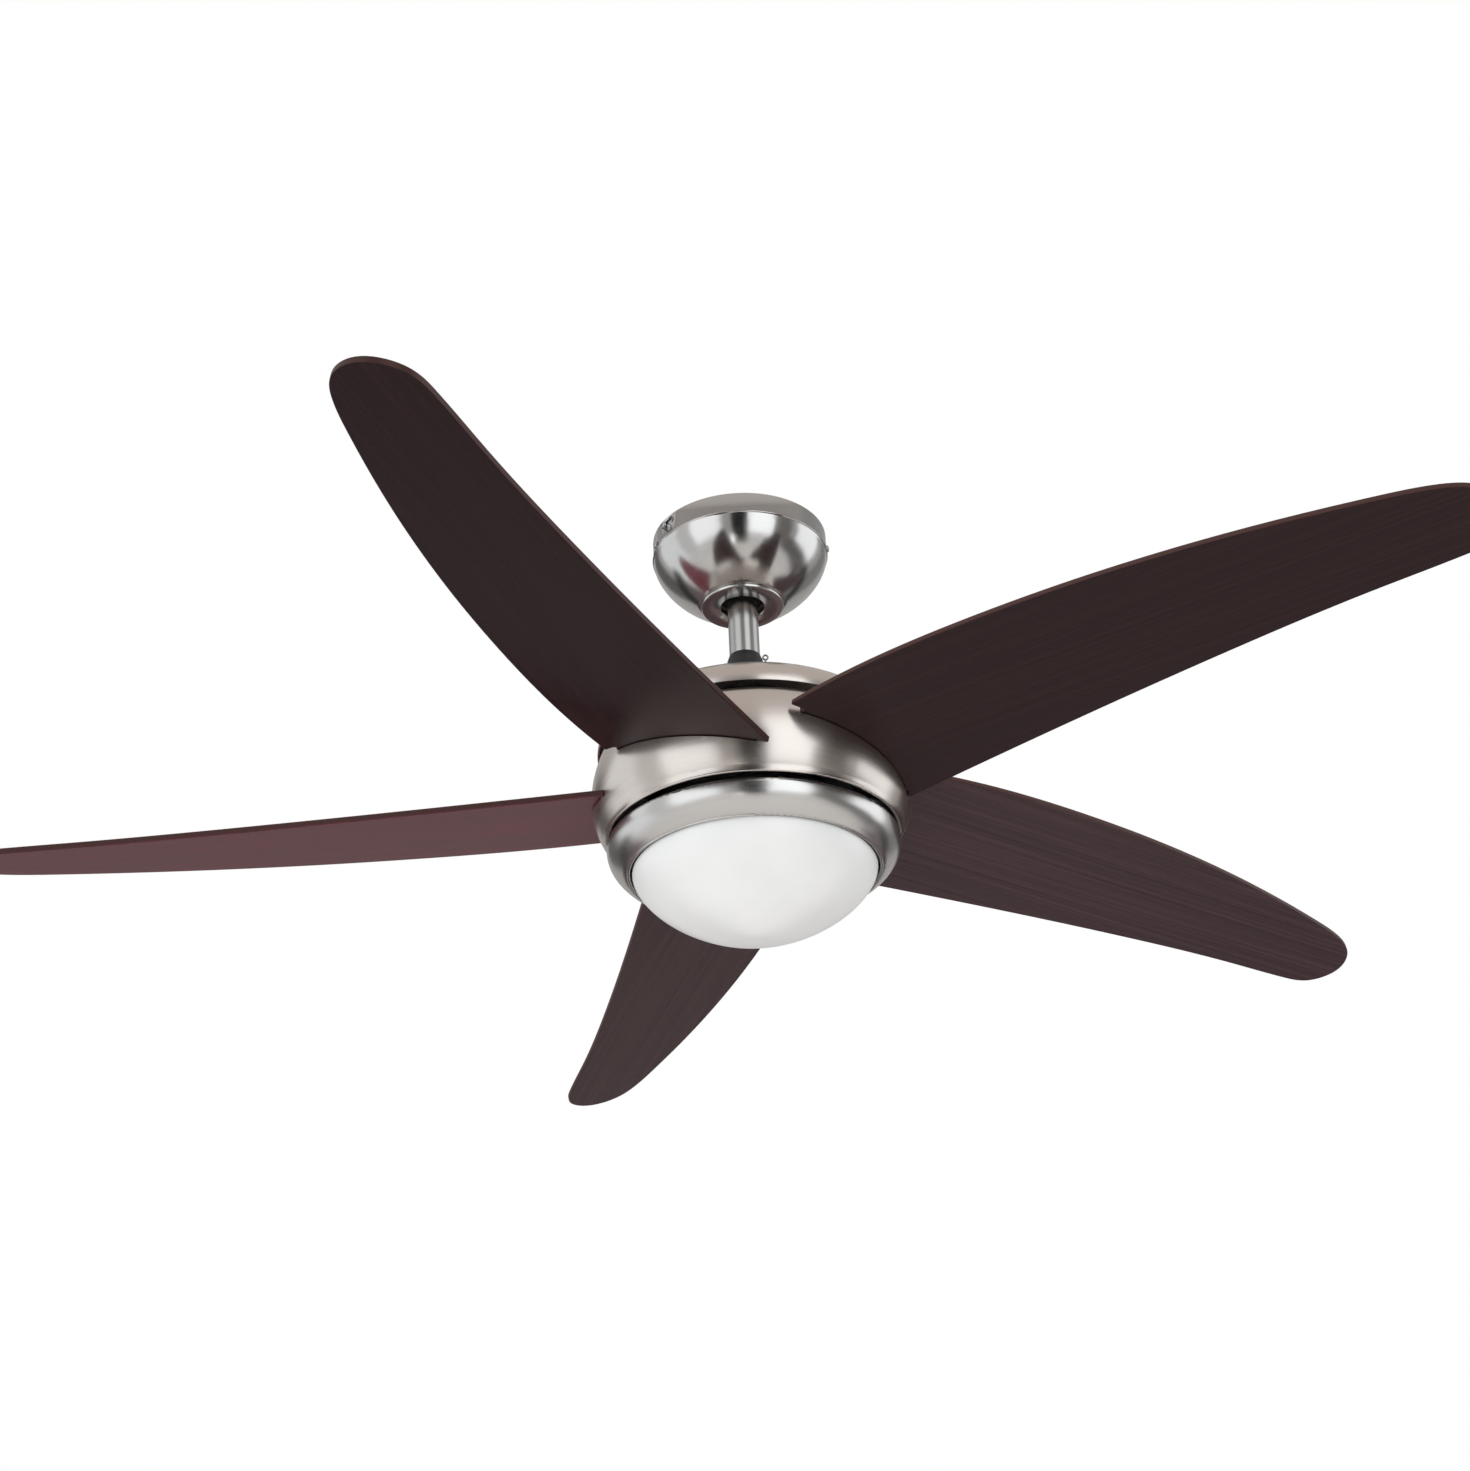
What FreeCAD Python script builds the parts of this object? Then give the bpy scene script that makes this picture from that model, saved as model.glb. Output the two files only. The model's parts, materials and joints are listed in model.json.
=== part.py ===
"""Ceiling fan with a light: five wooden blades on an outer-rotor motor, hung on a downrod from a ball hanger.

Millimetres, +Z up. The origin is the middle of the ceiling bracket's top face, so the fan hangs below z = 0.
"""
import FreeCAD, Part
import math
import os

V = FreeCAD.Vector
UP = V(0, 0, 1)
PARTS = {}

# ---- fits
running_gap = 0.05        # radial play of a turning or sliding fit
free_gap = 0.3            # between surfaces that move past each other
hole_gap = 0.1            # round a screw or pin that only passes through

# ---- blades
blade_count = 5
first_blade_angle = -36.0
sweep_radius = 660.0      # axis to blade tip
blade_thickness = 5.0
blade_pitch = 12.19       # the straight edge is the lower one
blade_droop = 1.466       # the tip is this much below the root
blade_edge_round = 0.9
tongue_inner = 96.0       # the blade's tongue starts at this radius
tongue_lead = -77.0       # its two sides, across the blade
tongue_trail = 47.0
slot_play = 0.8           # round the tongue in the shell's slot
blade_screw_radius = 2.5
blade_screw_inset = 8.0   # from the tongue's end to its screws
blade_screw_rows = (-38.0, -7.0, 24.0)

# ---- canopy and hanger
canopy_radius = 75.3
canopy_band = 19.4
canopy_depth = 65.3
canopy_roundness = 1.65   # 2 is an ellipse, and 1 a cone
canopy_wall = 1.2
canopy_floor_radius = 36.0
cover_radius = 35.3
cover_thickness = 3.4
cover_hole = 19.0
plate_margin = 5.3        # the bracket's plate is this much smaller than the canopy
plate_thickness = 2.0
ear_depth = 20.8
ear_thickness = 1.6
ceiling_slot_spacing = 89.0
ceiling_slot_length = 14.0
ceiling_slot_r = 2.75
pivot_height = 21.5       # the ball's centre above the canopy's floor
ball_radius = 25.0
ball_floor = 17.0         # the ball is cut flat this far below its centre
seat_ring_wall = 3.0
saddle_wall = 4.4
saddle_height = 14.0
hanger_tilt = 6.0         # degrees that the ball leans each way in its seat
key_width = 5.0           # keys that stop the ball and its seat ring from turning round
key_depth = 14.0          # their lower ends are this far below the pivot
ball_screw_radius = 2.5   # the screw that locks the ball to the rod
slot_angle_right = -3.0   # where the canopy's screws sit round its rim
slot_angle_left = 198.0
keyhole_angle = 212.0
keyhole_drop = 6.0
canopy_screw_r = 2.0
canopy_screw_head = 3.1
bead_half = 1.1
bead_rise = 0.8           # how far the bead under the band stands out

# ---- rod, yoke and shaft
rod_length = 132.0
rod_radius = 12.95
rod_wall = 1.75
rod_above_pivot = 20.0
yoke_socket = 37.5        # how far the yoke reaches up the rod
yoke_wall = 2.2
yoke_foot = 16.5          # from the rod's end down to the top cap's flat
flange_radius = 34.0
flange_thickness = 5.5
flange_bolt_circle = 26.0
pin_radius = 3.0
clevis_height = 27.0      # from the rod's end up to the clevis pin
clip_wire = 0.8
clip_eye = 2.0            # radius of the clip's finger ring
set_screw_drop = 14.0     # from the clevis pin down to the set screw
set_screw_radius = 2.4
shaft_radius = 8.5
shaft_bore = 5.5
nut_across = 24.0
lead_radius = 3.4

# ---- top cap and rotating shell
cap_rim_radius = 126.3
cap_height = 42.2
cap_wall = 1.2
cap_gap = 5.6             # the dark slot between cap and shell
shell_top_radius = 123.8
shell_max_radius = 131.9
shell_max_drop = 37.7     # from the shell's top edge to its widest ring
shell_lip_radius = 120.4
shell_height = 71.9
shell_lip = 1.3           # radius of the rolled lip
shell_wall = 1.3
blade_drop = 38.45        # from the shell's top edge to where the blades' lower faces would meet the axis

# ---- motor
bell_radius = 78.0
bell_height = 58.0
bell_wall = 4.0
bell_drop = 2.7           # the motor's top below the shell's top edge
bell_plate = 3.5
bell_lug_radius = 5.2
bell_screw_circle = bell_radius + 4.4
shell_flange_inner = bell_radius - 16.0
shell_screw_circle = shell_flange_inner + 6.0
stator_radius = 54.0
stator_height = 24.0
tooth_inner = 24.0
air_gap = 0.7
pole_count = 12
bearing_radius = 17.0
bearing_width = 10.0
bearing_ball_radius = 2.4
bearing_ball_count = 9
boss_wall = 4.0

# ---- blade arms
arm_plate = 3.5
arm_width = 40.0
arm_foot_inner = bell_radius - 26.0
arm_riser = bell_radius + 3.5
arm_riser_wall = 4.0
arm_screw_circle = arm_foot_inner + 7.0
arm_screw_rows = (-11.0, 11.0)
arm_screw_radius = 2.5
pad_outer = 112.0
pad_lead = -50.0
pad_trail = 36.0

# ---- light kit
neck_radius = 106.0
neck_gap = 7.0            # between the motor and the neck's top
neck_wall = 1.5
neck_screw_radius = 1.6
neck_screw_angles = [-77.0 + 120.0 * i for i in range(3)]
ring_gap = 7.1            # from the shell's lip down to the ring
ring_top_radius = 120.0
ring_height = 22.7
ring_roundness = 2.35     # 2 is a parabola, and more stays upright for longer
ring_wall = 1.3
glass_radius = 99.8
glass_depth = 58.0
glass_roundness = 1.58    # 2 is an ellipse, and less is more pointed
glass_wall = 3.0
ring_lip_radius = glass_radius + 4.2
ring_lip = 1.25           # radius of the rolled lip round the glass
lug_angle = 20.0
lug_start = 30.0
lug_thickness = 1.5
lamp_drop = 6.5           # the lamps' axes below the glass's rim
lamp_back = glass_radius - 37.8
bulb_radius = 22.5
bulb_cap_radius = 6.9
lamp_y = bulb_radius + 3.5
pan_screw_radius = 1.6

# ---- heights, from the ceiling down
pivot_z = pivot_height - canopy_depth
cover_z = -canopy_depth
canopy_screw_z = -canopy_band + bead_half + canopy_screw_head + hole_gap
rod_top = pivot_z + rod_above_pivot
rod_bottom = rod_top - rod_length
yoke_top = rod_bottom + yoke_socket
yoke_radius = rod_radius + running_gap + yoke_wall
clevis_pin_z = rod_bottom + clevis_height
set_screw_z = clevis_pin_z - set_screw_drop
cap_top_z = rod_bottom - yoke_foot
cap_rim_z = cap_top_z - cap_height
yoke_floor = cap_top_z - cap_wall
flange_bottom = yoke_floor - flange_thickness
shell_top_z = cap_rim_z - cap_gap
shell_max_z = shell_top_z - shell_max_drop
shell_lip_z = shell_top_z - shell_height
blade_plane_z = shell_top_z - blade_drop
bell_top = shell_top_z - bell_drop
bell_bottom = bell_top - bell_height
bell_middle = (bell_top + bell_bottom) / 2
neck_top = bell_bottom - neck_gap
ring_top_z = shell_lip_z - ring_gap
glass_rim_z = ring_top_z - ring_height
ring_bottom = glass_rim_z + free_gap
neck_screw_z = (neck_top + ring_top_z) / 2
hook_top = glass_rim_z + 7.5          # the ledges that the shade's lugs rest on
lamp_z = glass_rim_z - lamp_drop


# ---- helpers
def put(name, shape):
    PARTS[name] = shape


def cylinder(radius, low, high, x=0.0, y=0.0):
    return Part.makeCylinder(radius, high - low, V(x, y, low))


def tube(outer, inner, low, high, x=0.0, y=0.0):
    return cylinder(outer, low, high, x, y).cut(cylinder(inner, low - 1, high + 1, x, y))


def block(x0, x1, y0, y1, z0, z1):
    return Part.makeBox(x1 - x0, y1 - y0, z1 - z0, V(x0, y0, z0))


def turned(shape, degrees):
    copy = shape.copy()
    copy.rotate(V(0, 0, 0), UP, degrees)
    return copy


def round_array(shape, count, start=0.0):
    return [turned(shape, start + 360.0 * i / count) for i in range(count)]


def group(shapes):
    return Part.makeCompound(shapes)


def cut_all(shape, tools):
    return shape.cut(group(tools))


def curve(points):
    """A straight edge between two points, or a smooth one through more."""
    if len(points) == 2:
        return Part.makeLine(*points)
    spline = Part.BSplineCurve()
    spline.interpolate(points)
    return spline.toShape()


def outline_face(runs):
    """A closed face. A run of one point is a corner, and straight lines join the runs."""
    edges = []
    for i, run in enumerate(runs):
        following = runs[(i + 1) % len(runs)][0]
        if len(run) > 1:
            edges.append(curve(run))
        if (run[-1] - following).Length > 1e-6:
            edges.append(Part.makeLine(run[-1], following))
    return Part.Face(Part.Wire(edges))


def lathe(*runs):
    """Turns a closed outline about the fan's axis: (radius, z) is a corner, a list of them a smooth curve."""
    runs = [run if isinstance(run, list) else [run] for run in runs]
    face = outline_face([[V(r, 0, z) for r, z in run] for run in runs])
    return face.revolve(V(0, 0, 0), UP, 360)


def inset(points, wall):
    """The same curve moved to the right of its own direction by a wall's thickness."""
    moved = []
    for i, (r, z) in enumerate(points):
        r0, z0 = points[max(i - 1, 0)]
        r1, z1 = points[min(i + 1, len(points) - 1)]
        length = math.hypot(r1 - r0, z1 - z0)
        moved.append((r + wall * (z1 - z0) / length, z - wall * (r1 - r0) / length))
    return moved


def sector(outer, inner, low, high, angle, start):
    """Part of a tube that starts at an angle and spans another."""
    face = outline_face([[V(inner, 0, low)], [V(outer, 0, low)], [V(outer, 0, high)], [V(inner, 0, high)]])
    return turned(face.revolve(V(0, 0, 0), UP, angle), start)


def pan_screw(radius, length, head_radius=None, head_height=None):
    """A round-headed screw on +Z: the head sits on z = 0 and the shank goes down, with a cross slot."""
    head_radius = head_radius or 1.9 * radius
    head_height = head_height or 1.2 * radius
    dome = (head_radius ** 2 + head_height ** 2) / (2 * head_height)
    ball = Part.makeSphere(dome, V(0, 0, head_height - dome))
    head = cylinder(head_radius, 0, head_height).common(ball)
    recess = 0.24 * head_radius
    reach = 0.62 * head_radius
    arm = block(-reach, reach, -recess / 2, recess / 2, 0.45 * head_height, head_height)
    head = head.cut(arm).cut(turned(arm, 90))
    return head.fuse(cylinder(radius, -length, 0))


def rounded(box, radius):
    """A box with its four upright edges rounded."""
    return box.makeFillet(radius, [e for e in box.Edges if abs(e.tangentAt(e.FirstParameter).z) > 0.9])


def hex_prism(across, low, high):
    radius = across / math.sqrt(3)
    corners = [V(radius * math.cos(math.radians(60 * i)), radius * math.sin(math.radians(60 * i)), low)
               for i in range(6)]
    return Part.Face(Part.makePolygon(corners + corners[:1])).extrude(V(0, 0, high - low))


def facing(shape, axis, place):
    """Turns a piece made along +Z to face along an axis, and moves it."""
    copy = shape.copy()
    copy.Placement = FreeCAD.Placement(V(*place), FreeCAD.Rotation(UP, V(*axis)))
    return copy


def radial_screw(screw, angle, radius, z):
    """A screw whose head stands on a round wall and faces outwards."""
    a = math.radians(angle)
    outward = (math.cos(a), math.sin(a), 0)
    return facing(screw, outward, (radius * outward[0], radius * outward[1], z))


def blade_frame(shape, index):
    """Moves a piece from a blade's own frame (X along it, Y across, Z through it) to its place."""
    copy = shape.copy()
    copy.rotate(V(0, 0, 0), V(1, 0, 0), -blade_pitch)
    copy.rotate(V(0, 0, 0), V(0, 1, 0), blade_droop)
    copy.rotate(V(0, 0, 0), UP, first_blade_angle + 360.0 * index / blade_count)
    copy.translate(V(0, 0, blade_plane_z))
    return copy


# ---- outlines shared by pieces that meet
def canopy_outline():
    """The canopy's dome: a curve between a cone and an ellipse."""
    steps = 8
    depth = canopy_depth - canopy_band
    reach = 1 - (canopy_floor_radius / canopy_radius) ** canopy_roundness
    points = []
    for i in range(steps + 1):
        u = i / steps
        radius = canopy_radius * (1 - reach * u ** canopy_roundness) ** (1 / canopy_roundness)
        points.append((radius, -canopy_band - depth * u))
    return points


def shell_outline():
    """The shell's outside from its top edge to just above its lip."""
    points = []
    upper = shell_top_z - shell_max_z
    for i in range(5):
        u = 1 - i / 4
        radius = shell_max_radius - (shell_max_radius - shell_top_radius) * u ** 2
        points.append((radius, shell_max_z + upper * u))
    lower = shell_max_z - shell_lip_z
    for i in range(1, 6):
        u = i / 5
        radius = shell_max_radius - (shell_max_radius - shell_lip_radius) * u ** 2
        points.append((radius, shell_max_z - lower * u))
    return points


def cap_outline():
    """The top cap's outside, from the rim up to its flat middle."""
    height = cap_top_z - cap_rim_z
    steps = [(1.0, 0.0), (0.991, 0.225), (0.948, 0.45), (0.88, 0.595), (0.785, 0.745),
             (0.665, 0.875), (0.48, 0.965), (0.3, 1.0)]
    return [(cap_rim_radius * r, cap_rim_z + height * z) for r, z in steps]


def ring_outline():
    """The light ring's outside, from its top edge to the lip round the glass."""
    steps = 5
    height = ring_height + free_gap
    points = []
    for i in range(steps + 1):
        u = i / steps
        radius = ring_top_radius - (ring_top_radius - ring_lip_radius) * u ** ring_roundness
        points.append((radius, ring_top_z - height * u))
    return points


# ---- ceiling side
def ceiling_bracket():
    plate_radius = canopy_radius - plate_margin
    plate = cylinder(plate_radius, -plate_thickness, 0)
    ear_outer = canopy_radius - canopy_wall - free_gap
    ears = []
    for start, span in ((slot_angle_right - 10, 20), (slot_angle_left - 8, 30)):
        ears.append(sector(ear_outer, ear_outer - ear_thickness, -ear_depth, 0, span, start))
        ears.append(sector(ear_outer, plate_radius - 3, -plate_thickness, 0, span, start))
    seat = ball_radius + 2 * free_gap + seat_ring_wall
    saddle_low = pivot_z - ball_floor
    saddle_high = saddle_low + saddle_height
    saddle = cylinder(seat + saddle_wall, saddle_low, saddle_high)
    leg_x = seat + saddle_wall
    legs = [block(x - 2, x, -15, 15, saddle_low, -0.5) for x in (leg_x, -leg_x + 2)]
    body = plate.multiFuse(ears + legs + [saddle])
    body = body.cut(Part.makeSphere(seat, V(0, 0, pivot_z)))
    key = block(seat - 2.2, seat + 1, -key_width / 2, key_width / 2, pivot_z - key_depth, saddle_high - 3)
    body = body.fuse(key)
    reach = ceiling_slot_length / 2 - ceiling_slot_r
    slot = block(-reach, reach, -ceiling_slot_r, ceiling_slot_r, -3, 1)
    slot = slot.multiFuse([cylinder(ceiling_slot_r, -3, 1, x) for x in (-reach, reach)])
    tools = []
    for side in (-1, 1):
        moved = slot.copy()
        moved.translate(V(side * ceiling_slot_spacing / 2, 0, 0))
        tools.append(moved)
    wire_hole = 11.0
    tools.append(cylinder(wire_hole, -3, 1, 0, wire_hole + 13 - plate_radius))
    for angle, z in canopy_screw_places():
        tools.append(radial_screw(cylinder(canopy_screw_r, -8, 8), angle, ear_outer, z))
    put("ceiling_bracket", cut_all(body, tools).removeSplitter())


def canopy_screw_places():
    right = (slot_angle_right, canopy_screw_z)
    left = (slot_angle_left, canopy_screw_z)
    return [right, left, (keyhole_angle, -keyhole_drop)]


def canopy():
    dome = canopy_outline()
    inside = inset(dome, canopy_wall)
    inside[0] = (canopy_radius - canopy_wall, -canopy_band)
    inside[-1] = (inside[-1][0], -canopy_depth + canopy_wall)
    hole = cover_radius - 5
    shell = lathe((canopy_radius - 0.8, -free_gap), (canopy_radius, -free_gap - 0.8),
                  dome, (hole, -canopy_depth), (hole, -canopy_depth + canopy_wall),
                  inside[::-1], (canopy_radius - canopy_wall, -free_gap))
    bead = lathe([(canopy_radius - 0.6, bead_half - canopy_band), (canopy_radius + bead_rise, -canopy_band),
                  (canopy_radius - 0.6, -bead_half - canopy_band)])
    holes = [radial_screw(cylinder(canopy_screw_r + hole_gap, -8, 8), angle, canopy_radius, z)
             for angle, z in canopy_screw_places()]
    keyhole = sector(canopy_radius + 3, canopy_radius - 4, -keyhole_drop - canopy_screw_r,
                     -keyhole_drop + canopy_screw_r, 8, keyhole_angle)
    entry = cylinder(2.2 * canopy_screw_r, -5, 5)
    entry = radial_screw(entry, keyhole_angle + 8, canopy_radius, -keyhole_drop - 1)
    put("canopy", cut_all(shell.fuse(bead), holes + [keyhole, entry]))

    low = cover_z - cover_thickness
    rolled_edge = [(cover_radius, low + 1.2), (cover_radius - 0.35, low + 0.35), (cover_radius - 1.2, low)]
    put("canopy_cover", lathe((cover_hole, cover_z), (cover_radius - 0.6, cover_z),
                              (cover_radius, cover_z - 0.6), rolled_edge,
                              (cover_hole + 0.6, low), (cover_hole, low + 0.6)))
    screw = pan_screw(canopy_screw_r, 6, canopy_screw_head, 2.4)
    places = canopy_screw_places()
    put("canopy_screws", group([radial_screw(screw, angle, canopy_radius, z) for angle, z in places]))


def wiring():
    edge = canopy_radius - 15.3
    case = block(-32, 32, edge - 19, edge, -27, -plate_thickness)
    put("remote_receiver", rounded(case, 2.0))
    row_y = -27.5
    body = block(-20, 20, row_y - 5.5, row_y + 5.5, -16, -plate_thickness)
    wells = [cylinder(1.8, -20, -12, x, row_y) for x in (-14, -5, 5, 14)]
    put("terminal_block", cut_all(body, wells))


def hanger():
    ball = Part.makeSphere(ball_radius, V(0, 0, pivot_z))
    ball = ball.common(block(-40, 40, -40, 40, pivot_z - ball_floor, pivot_z + ball_radius - 7))
    pin_hole = facing(cylinder(pin_radius + hole_gap, -40, 40), (1, 0, 0), (0, 0, pivot_z))
    key_swing = key_depth * math.sin(math.radians(hanger_tilt))
    groove_half = key_width / 2 + key_swing + free_gap
    groove = block(-groove_half, groove_half, ball_radius - 2.4, ball_radius + 2,
                   pivot_z - ball_floor - 1, pivot_z + 6)
    screw_hole = facing(cylinder(ball_screw_radius, 0, 2 * ball_radius), (0, -1, 0), (0, 0, pivot_z))
    ball = cut_all(ball, [cylinder(rod_radius + running_gap, -90, 0), pin_hole, groove, screw_hole])
    put("hanger_ball", ball)
    grub = cylinder(ball_screw_radius, rod_radius, ball_radius - 2.5)
    grub = grub.cut(hex_prism(ball_screw_radius, ball_radius - 5.5, ball_radius))
    put("ball_set_screw", facing(grub, (0, -1, 0), (0, 0, pivot_z)))

    inner = ball_radius + free_gap
    outer = inner + seat_ring_wall
    low = pivot_z - ball_floor + 1
    ring = Part.makeSphere(outer, V(0, 0, pivot_z)).common(block(-40, 40, -40, 40, low, low + 12))
    ring = ring.cut(Part.makeSphere(inner, V(0, 0, pivot_z)))
    key = block(-key_width / 2, key_width / 2, inner - 1.6, inner + 1, pivot_z - key_depth + 2, low + 10)
    key = key.common(Part.makeSphere(outer - 1, V(0, 0, pivot_z)))
    groove = block(outer - 2.7, outer + 2, -groove_half, groove_half, low - 1, low + 13)
    put("ball_seat_ring", ring.cut(groove).fuse(key))

    pin = facing(cylinder(pin_radius, -21, 21), (1, 0, 0), (0, 0, pivot_z))
    put("ball_cross_pin", pin)


def downrod():
    rod = tube(rod_radius, rod_radius - rod_wall, rod_bottom, rod_top)
    hole = cylinder(pin_radius + hole_gap, -40, 40)
    put("downrod", cut_all(rod, [facing(hole, (1, 0, 0), (0, 0, z)) for z in (pivot_z, clevis_pin_z)]))


def yoke():
    inside = rod_radius + running_gap
    collar = 5.0
    shape = lathe((inside, yoke_top), (inside + 0.4, yoke_top), (yoke_radius, yoke_top - collar),
                  (yoke_radius, yoke_floor + 2), (yoke_radius + 2, yoke_floor),
                  (flange_radius, yoke_floor), (flange_radius, flange_bottom),
                  (shaft_radius, flange_bottom), (shaft_radius, rod_bottom - 1), (inside, rod_bottom - 1))
    pin_hole = facing(cylinder(pin_radius + hole_gap, -40, 40), (1, 0, 0), (0, 0, clevis_pin_z))
    set_hole = cylinder(set_screw_radius + hole_gap, 1, 2 * yoke_radius)
    set_hole = facing(set_hole, (0, -1, 0), (0, 0, set_screw_z))
    cap_holes = round_array(cylinder(2.0, flange_bottom - 1, yoke_floor + 1, flange_bolt_circle), 3, 30)
    put("yoke", cut_all(shape, [pin_hole, set_hole] + cap_holes))

    clip_x = yoke_radius + 2.2
    head = lathe((0, 0), (5.0, 0), (5.0, 1.4), (3.4, 2.4), (0, 2.4))
    shank = cylinder(pin_radius, -(yoke_radius + clip_x + 4), 0)
    pin = facing(head.fuse(shank), (-1, 0, 0), (-yoke_radius - 0.5, 0, clevis_pin_z))
    eye = hitched(cylinder(clip_wire + hole_gap, -5, 5), clip_x)
    put("clevis_pin", pin.cut(eye))

    ring_z = 8.6
    ring = Part.makeTorus(clip_eye, clip_wire, V(0, 0, ring_z), V(0, 1, 0))
    put("hitch_clip", hitched(cylinder(clip_wire, -8, ring_z - clip_eye).fuse(ring), clip_x))

    screw = hex_prism(4.4, 0, 3).fuse(cylinder(set_screw_radius, rod_radius - yoke_radius + running_gap, 0))
    put("yoke_set_screw", facing(screw, (0, -1, 0), (0, -yoke_radius, set_screw_z)))


def hitched(shape, x):
    """Leans a piece made on the axis, and stands it in the clevis pin's end."""
    shape.rotate(V(0, 0, 0), V(1, 0, 0), 12)
    shape.translate(V(x, 0, clevis_pin_z))
    return shape


def shaft():
    low = neck_top - neck_wall - 12
    put("motor_shaft", tube(shaft_radius, shaft_bore, low, rod_bottom - 1.5))
    nut = hex_prism(nut_across, neck_top - neck_wall - 7, neck_top - neck_wall)
    jam = hex_prism(nut_across, neck_top, neck_top + 2.5)
    put("shaft_nuts", group([n.cut(cylinder(shaft_radius, low, bell_bottom)) for n in (nut, jam)]))

    offset = rod_radius - rod_wall - lead_radius - 0.8
    bend_high = rod_bottom + 24
    bend_low = rod_bottom + 3
    radius = 30.0
    slope = math.atan2(offset, bend_high - bend_low)
    reach = radius * math.tan(slope / 2)
    along = V(0, -math.sin(slope), -math.cos(slope))
    top_bend = V(0, offset, bend_high)
    low_bend = V(0, 0, bend_low)
    points = [V(0, offset, rod_top - 2), top_bend + UP * reach, top_bend + along * reach,
              low_bend - along * reach, low_bend - UP * reach, V(0, 0, low + 4)]
    middles = [arc_middle(points[1], top_bend, points[2], radius, slope),
               arc_middle(points[3], low_bend, points[4], radius, slope)]
    path = Part.Wire([Part.makeLine(points[0], points[1]),
                      Part.Arc(points[1], middles[0], points[2]).toShape(),
                      Part.makeLine(points[2], points[3]),
                      Part.Arc(points[3], middles[1], points[4]).toShape(),
                      Part.makeLine(points[4], points[5])])
    circle = Part.Wire(Part.makeCircle(lead_radius, points[0], UP))
    put("motor_leads", path.makePipeShell([circle], True, False))


def arc_middle(start, corner, end, radius, turn):
    """The middle of the arc that rounds a corner between two straight runs."""
    inward = ((start + end) * 0.5 - corner).normalize()
    return corner + inward * (radius / math.cos(turn / 2) - radius)


# ---- housing that stays still
def top_cap():
    outside = cap_outline()
    inside = inset(outside[::-1], cap_wall)
    inside[-1] = (cap_rim_radius - cap_wall, cap_rim_z)
    inside[0] = (inside[0][0], cap_top_z - cap_wall)
    hole = yoke_radius + 2.5
    cap = lathe(outside, (hole, cap_top_z), (hole, cap_top_z - cap_wall), inside)
    bolts = round_array(cylinder(2.2, cap_top_z - 5, cap_top_z + 5, flange_bolt_circle), 3, 30)
    put("top_cap", cut_all(cap, bolts))
    screw = pan_screw(2.0, cap_wall + 4, 4.0, 2.2)
    screw.translate(V(flange_bolt_circle, 0, cap_top_z))
    put("top_cap_screws", group(round_array(screw, 3, 30)))


def stator():
    low, high = bell_middle - stator_height / 2, bell_middle + stator_height / 2
    core = tube(stator_radius, shaft_radius, low, high)
    slots = round_array(block(tooth_inner, stator_radius - 6, -5.2, 5.2, low - 1, high + 1), pole_count)
    mouth = block(stator_radius - 8, stator_radius + 1, -1.6, 1.6, low - 1, high + 1)
    mouths = round_array(mouth, pole_count)
    put("stator_core", cut_all(core, slots + mouths))

    coil_low, coil_high = low - 6, high + 6
    coil_inner, coil_outer = tooth_inner + 2, stator_radius - 7.5
    coil = block(coil_inner, coil_outer, -4.6, 4.6, coil_low, coil_high)
    low_head = tube(coil_outer, coil_inner, coil_low, low - 0.2)
    high_head = tube(coil_outer, coil_inner, high + 0.2, coil_high)
    put("stator_windings", low_head.multiFuse([high_head] + round_array(coil, pole_count)).removeSplitter())

    ring = tube(bell_radius - bell_wall, stator_radius + air_gap, low, high)
    bars = round_array(cylinder(2.2, low - 1, high + 1, stator_radius + air_gap + 4.5), 2 * pole_count,
                       180.0 / pole_count)
    put("rotor_ring", cut_all(ring, bars))


def bearings():
    places = (bell_top - bell_plate, bell_bottom + bell_plate + bearing_width)
    pitch = (shaft_radius + bearing_radius) / 2
    inner, outer, balls = [], [], []
    for top in places:
        low = top - bearing_width
        middle = top - bearing_width / 2
        groove = Part.makeTorus(pitch, bearing_ball_radius + running_gap, V(0, 0, middle))
        inner.append(tube(pitch - 1.5, shaft_radius, low, top).cut(groove))
        outer.append(tube(bearing_radius, pitch + 1.5, low, top).cut(groove))
        ball = Part.makeSphere(bearing_ball_radius, V(pitch, 0, middle))
        balls += round_array(ball, bearing_ball_count)
    put("bearing_inner_rings", group(inner))
    put("bearing_outer_rings", group(outer))
    put("bearing_balls", group(balls))


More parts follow.
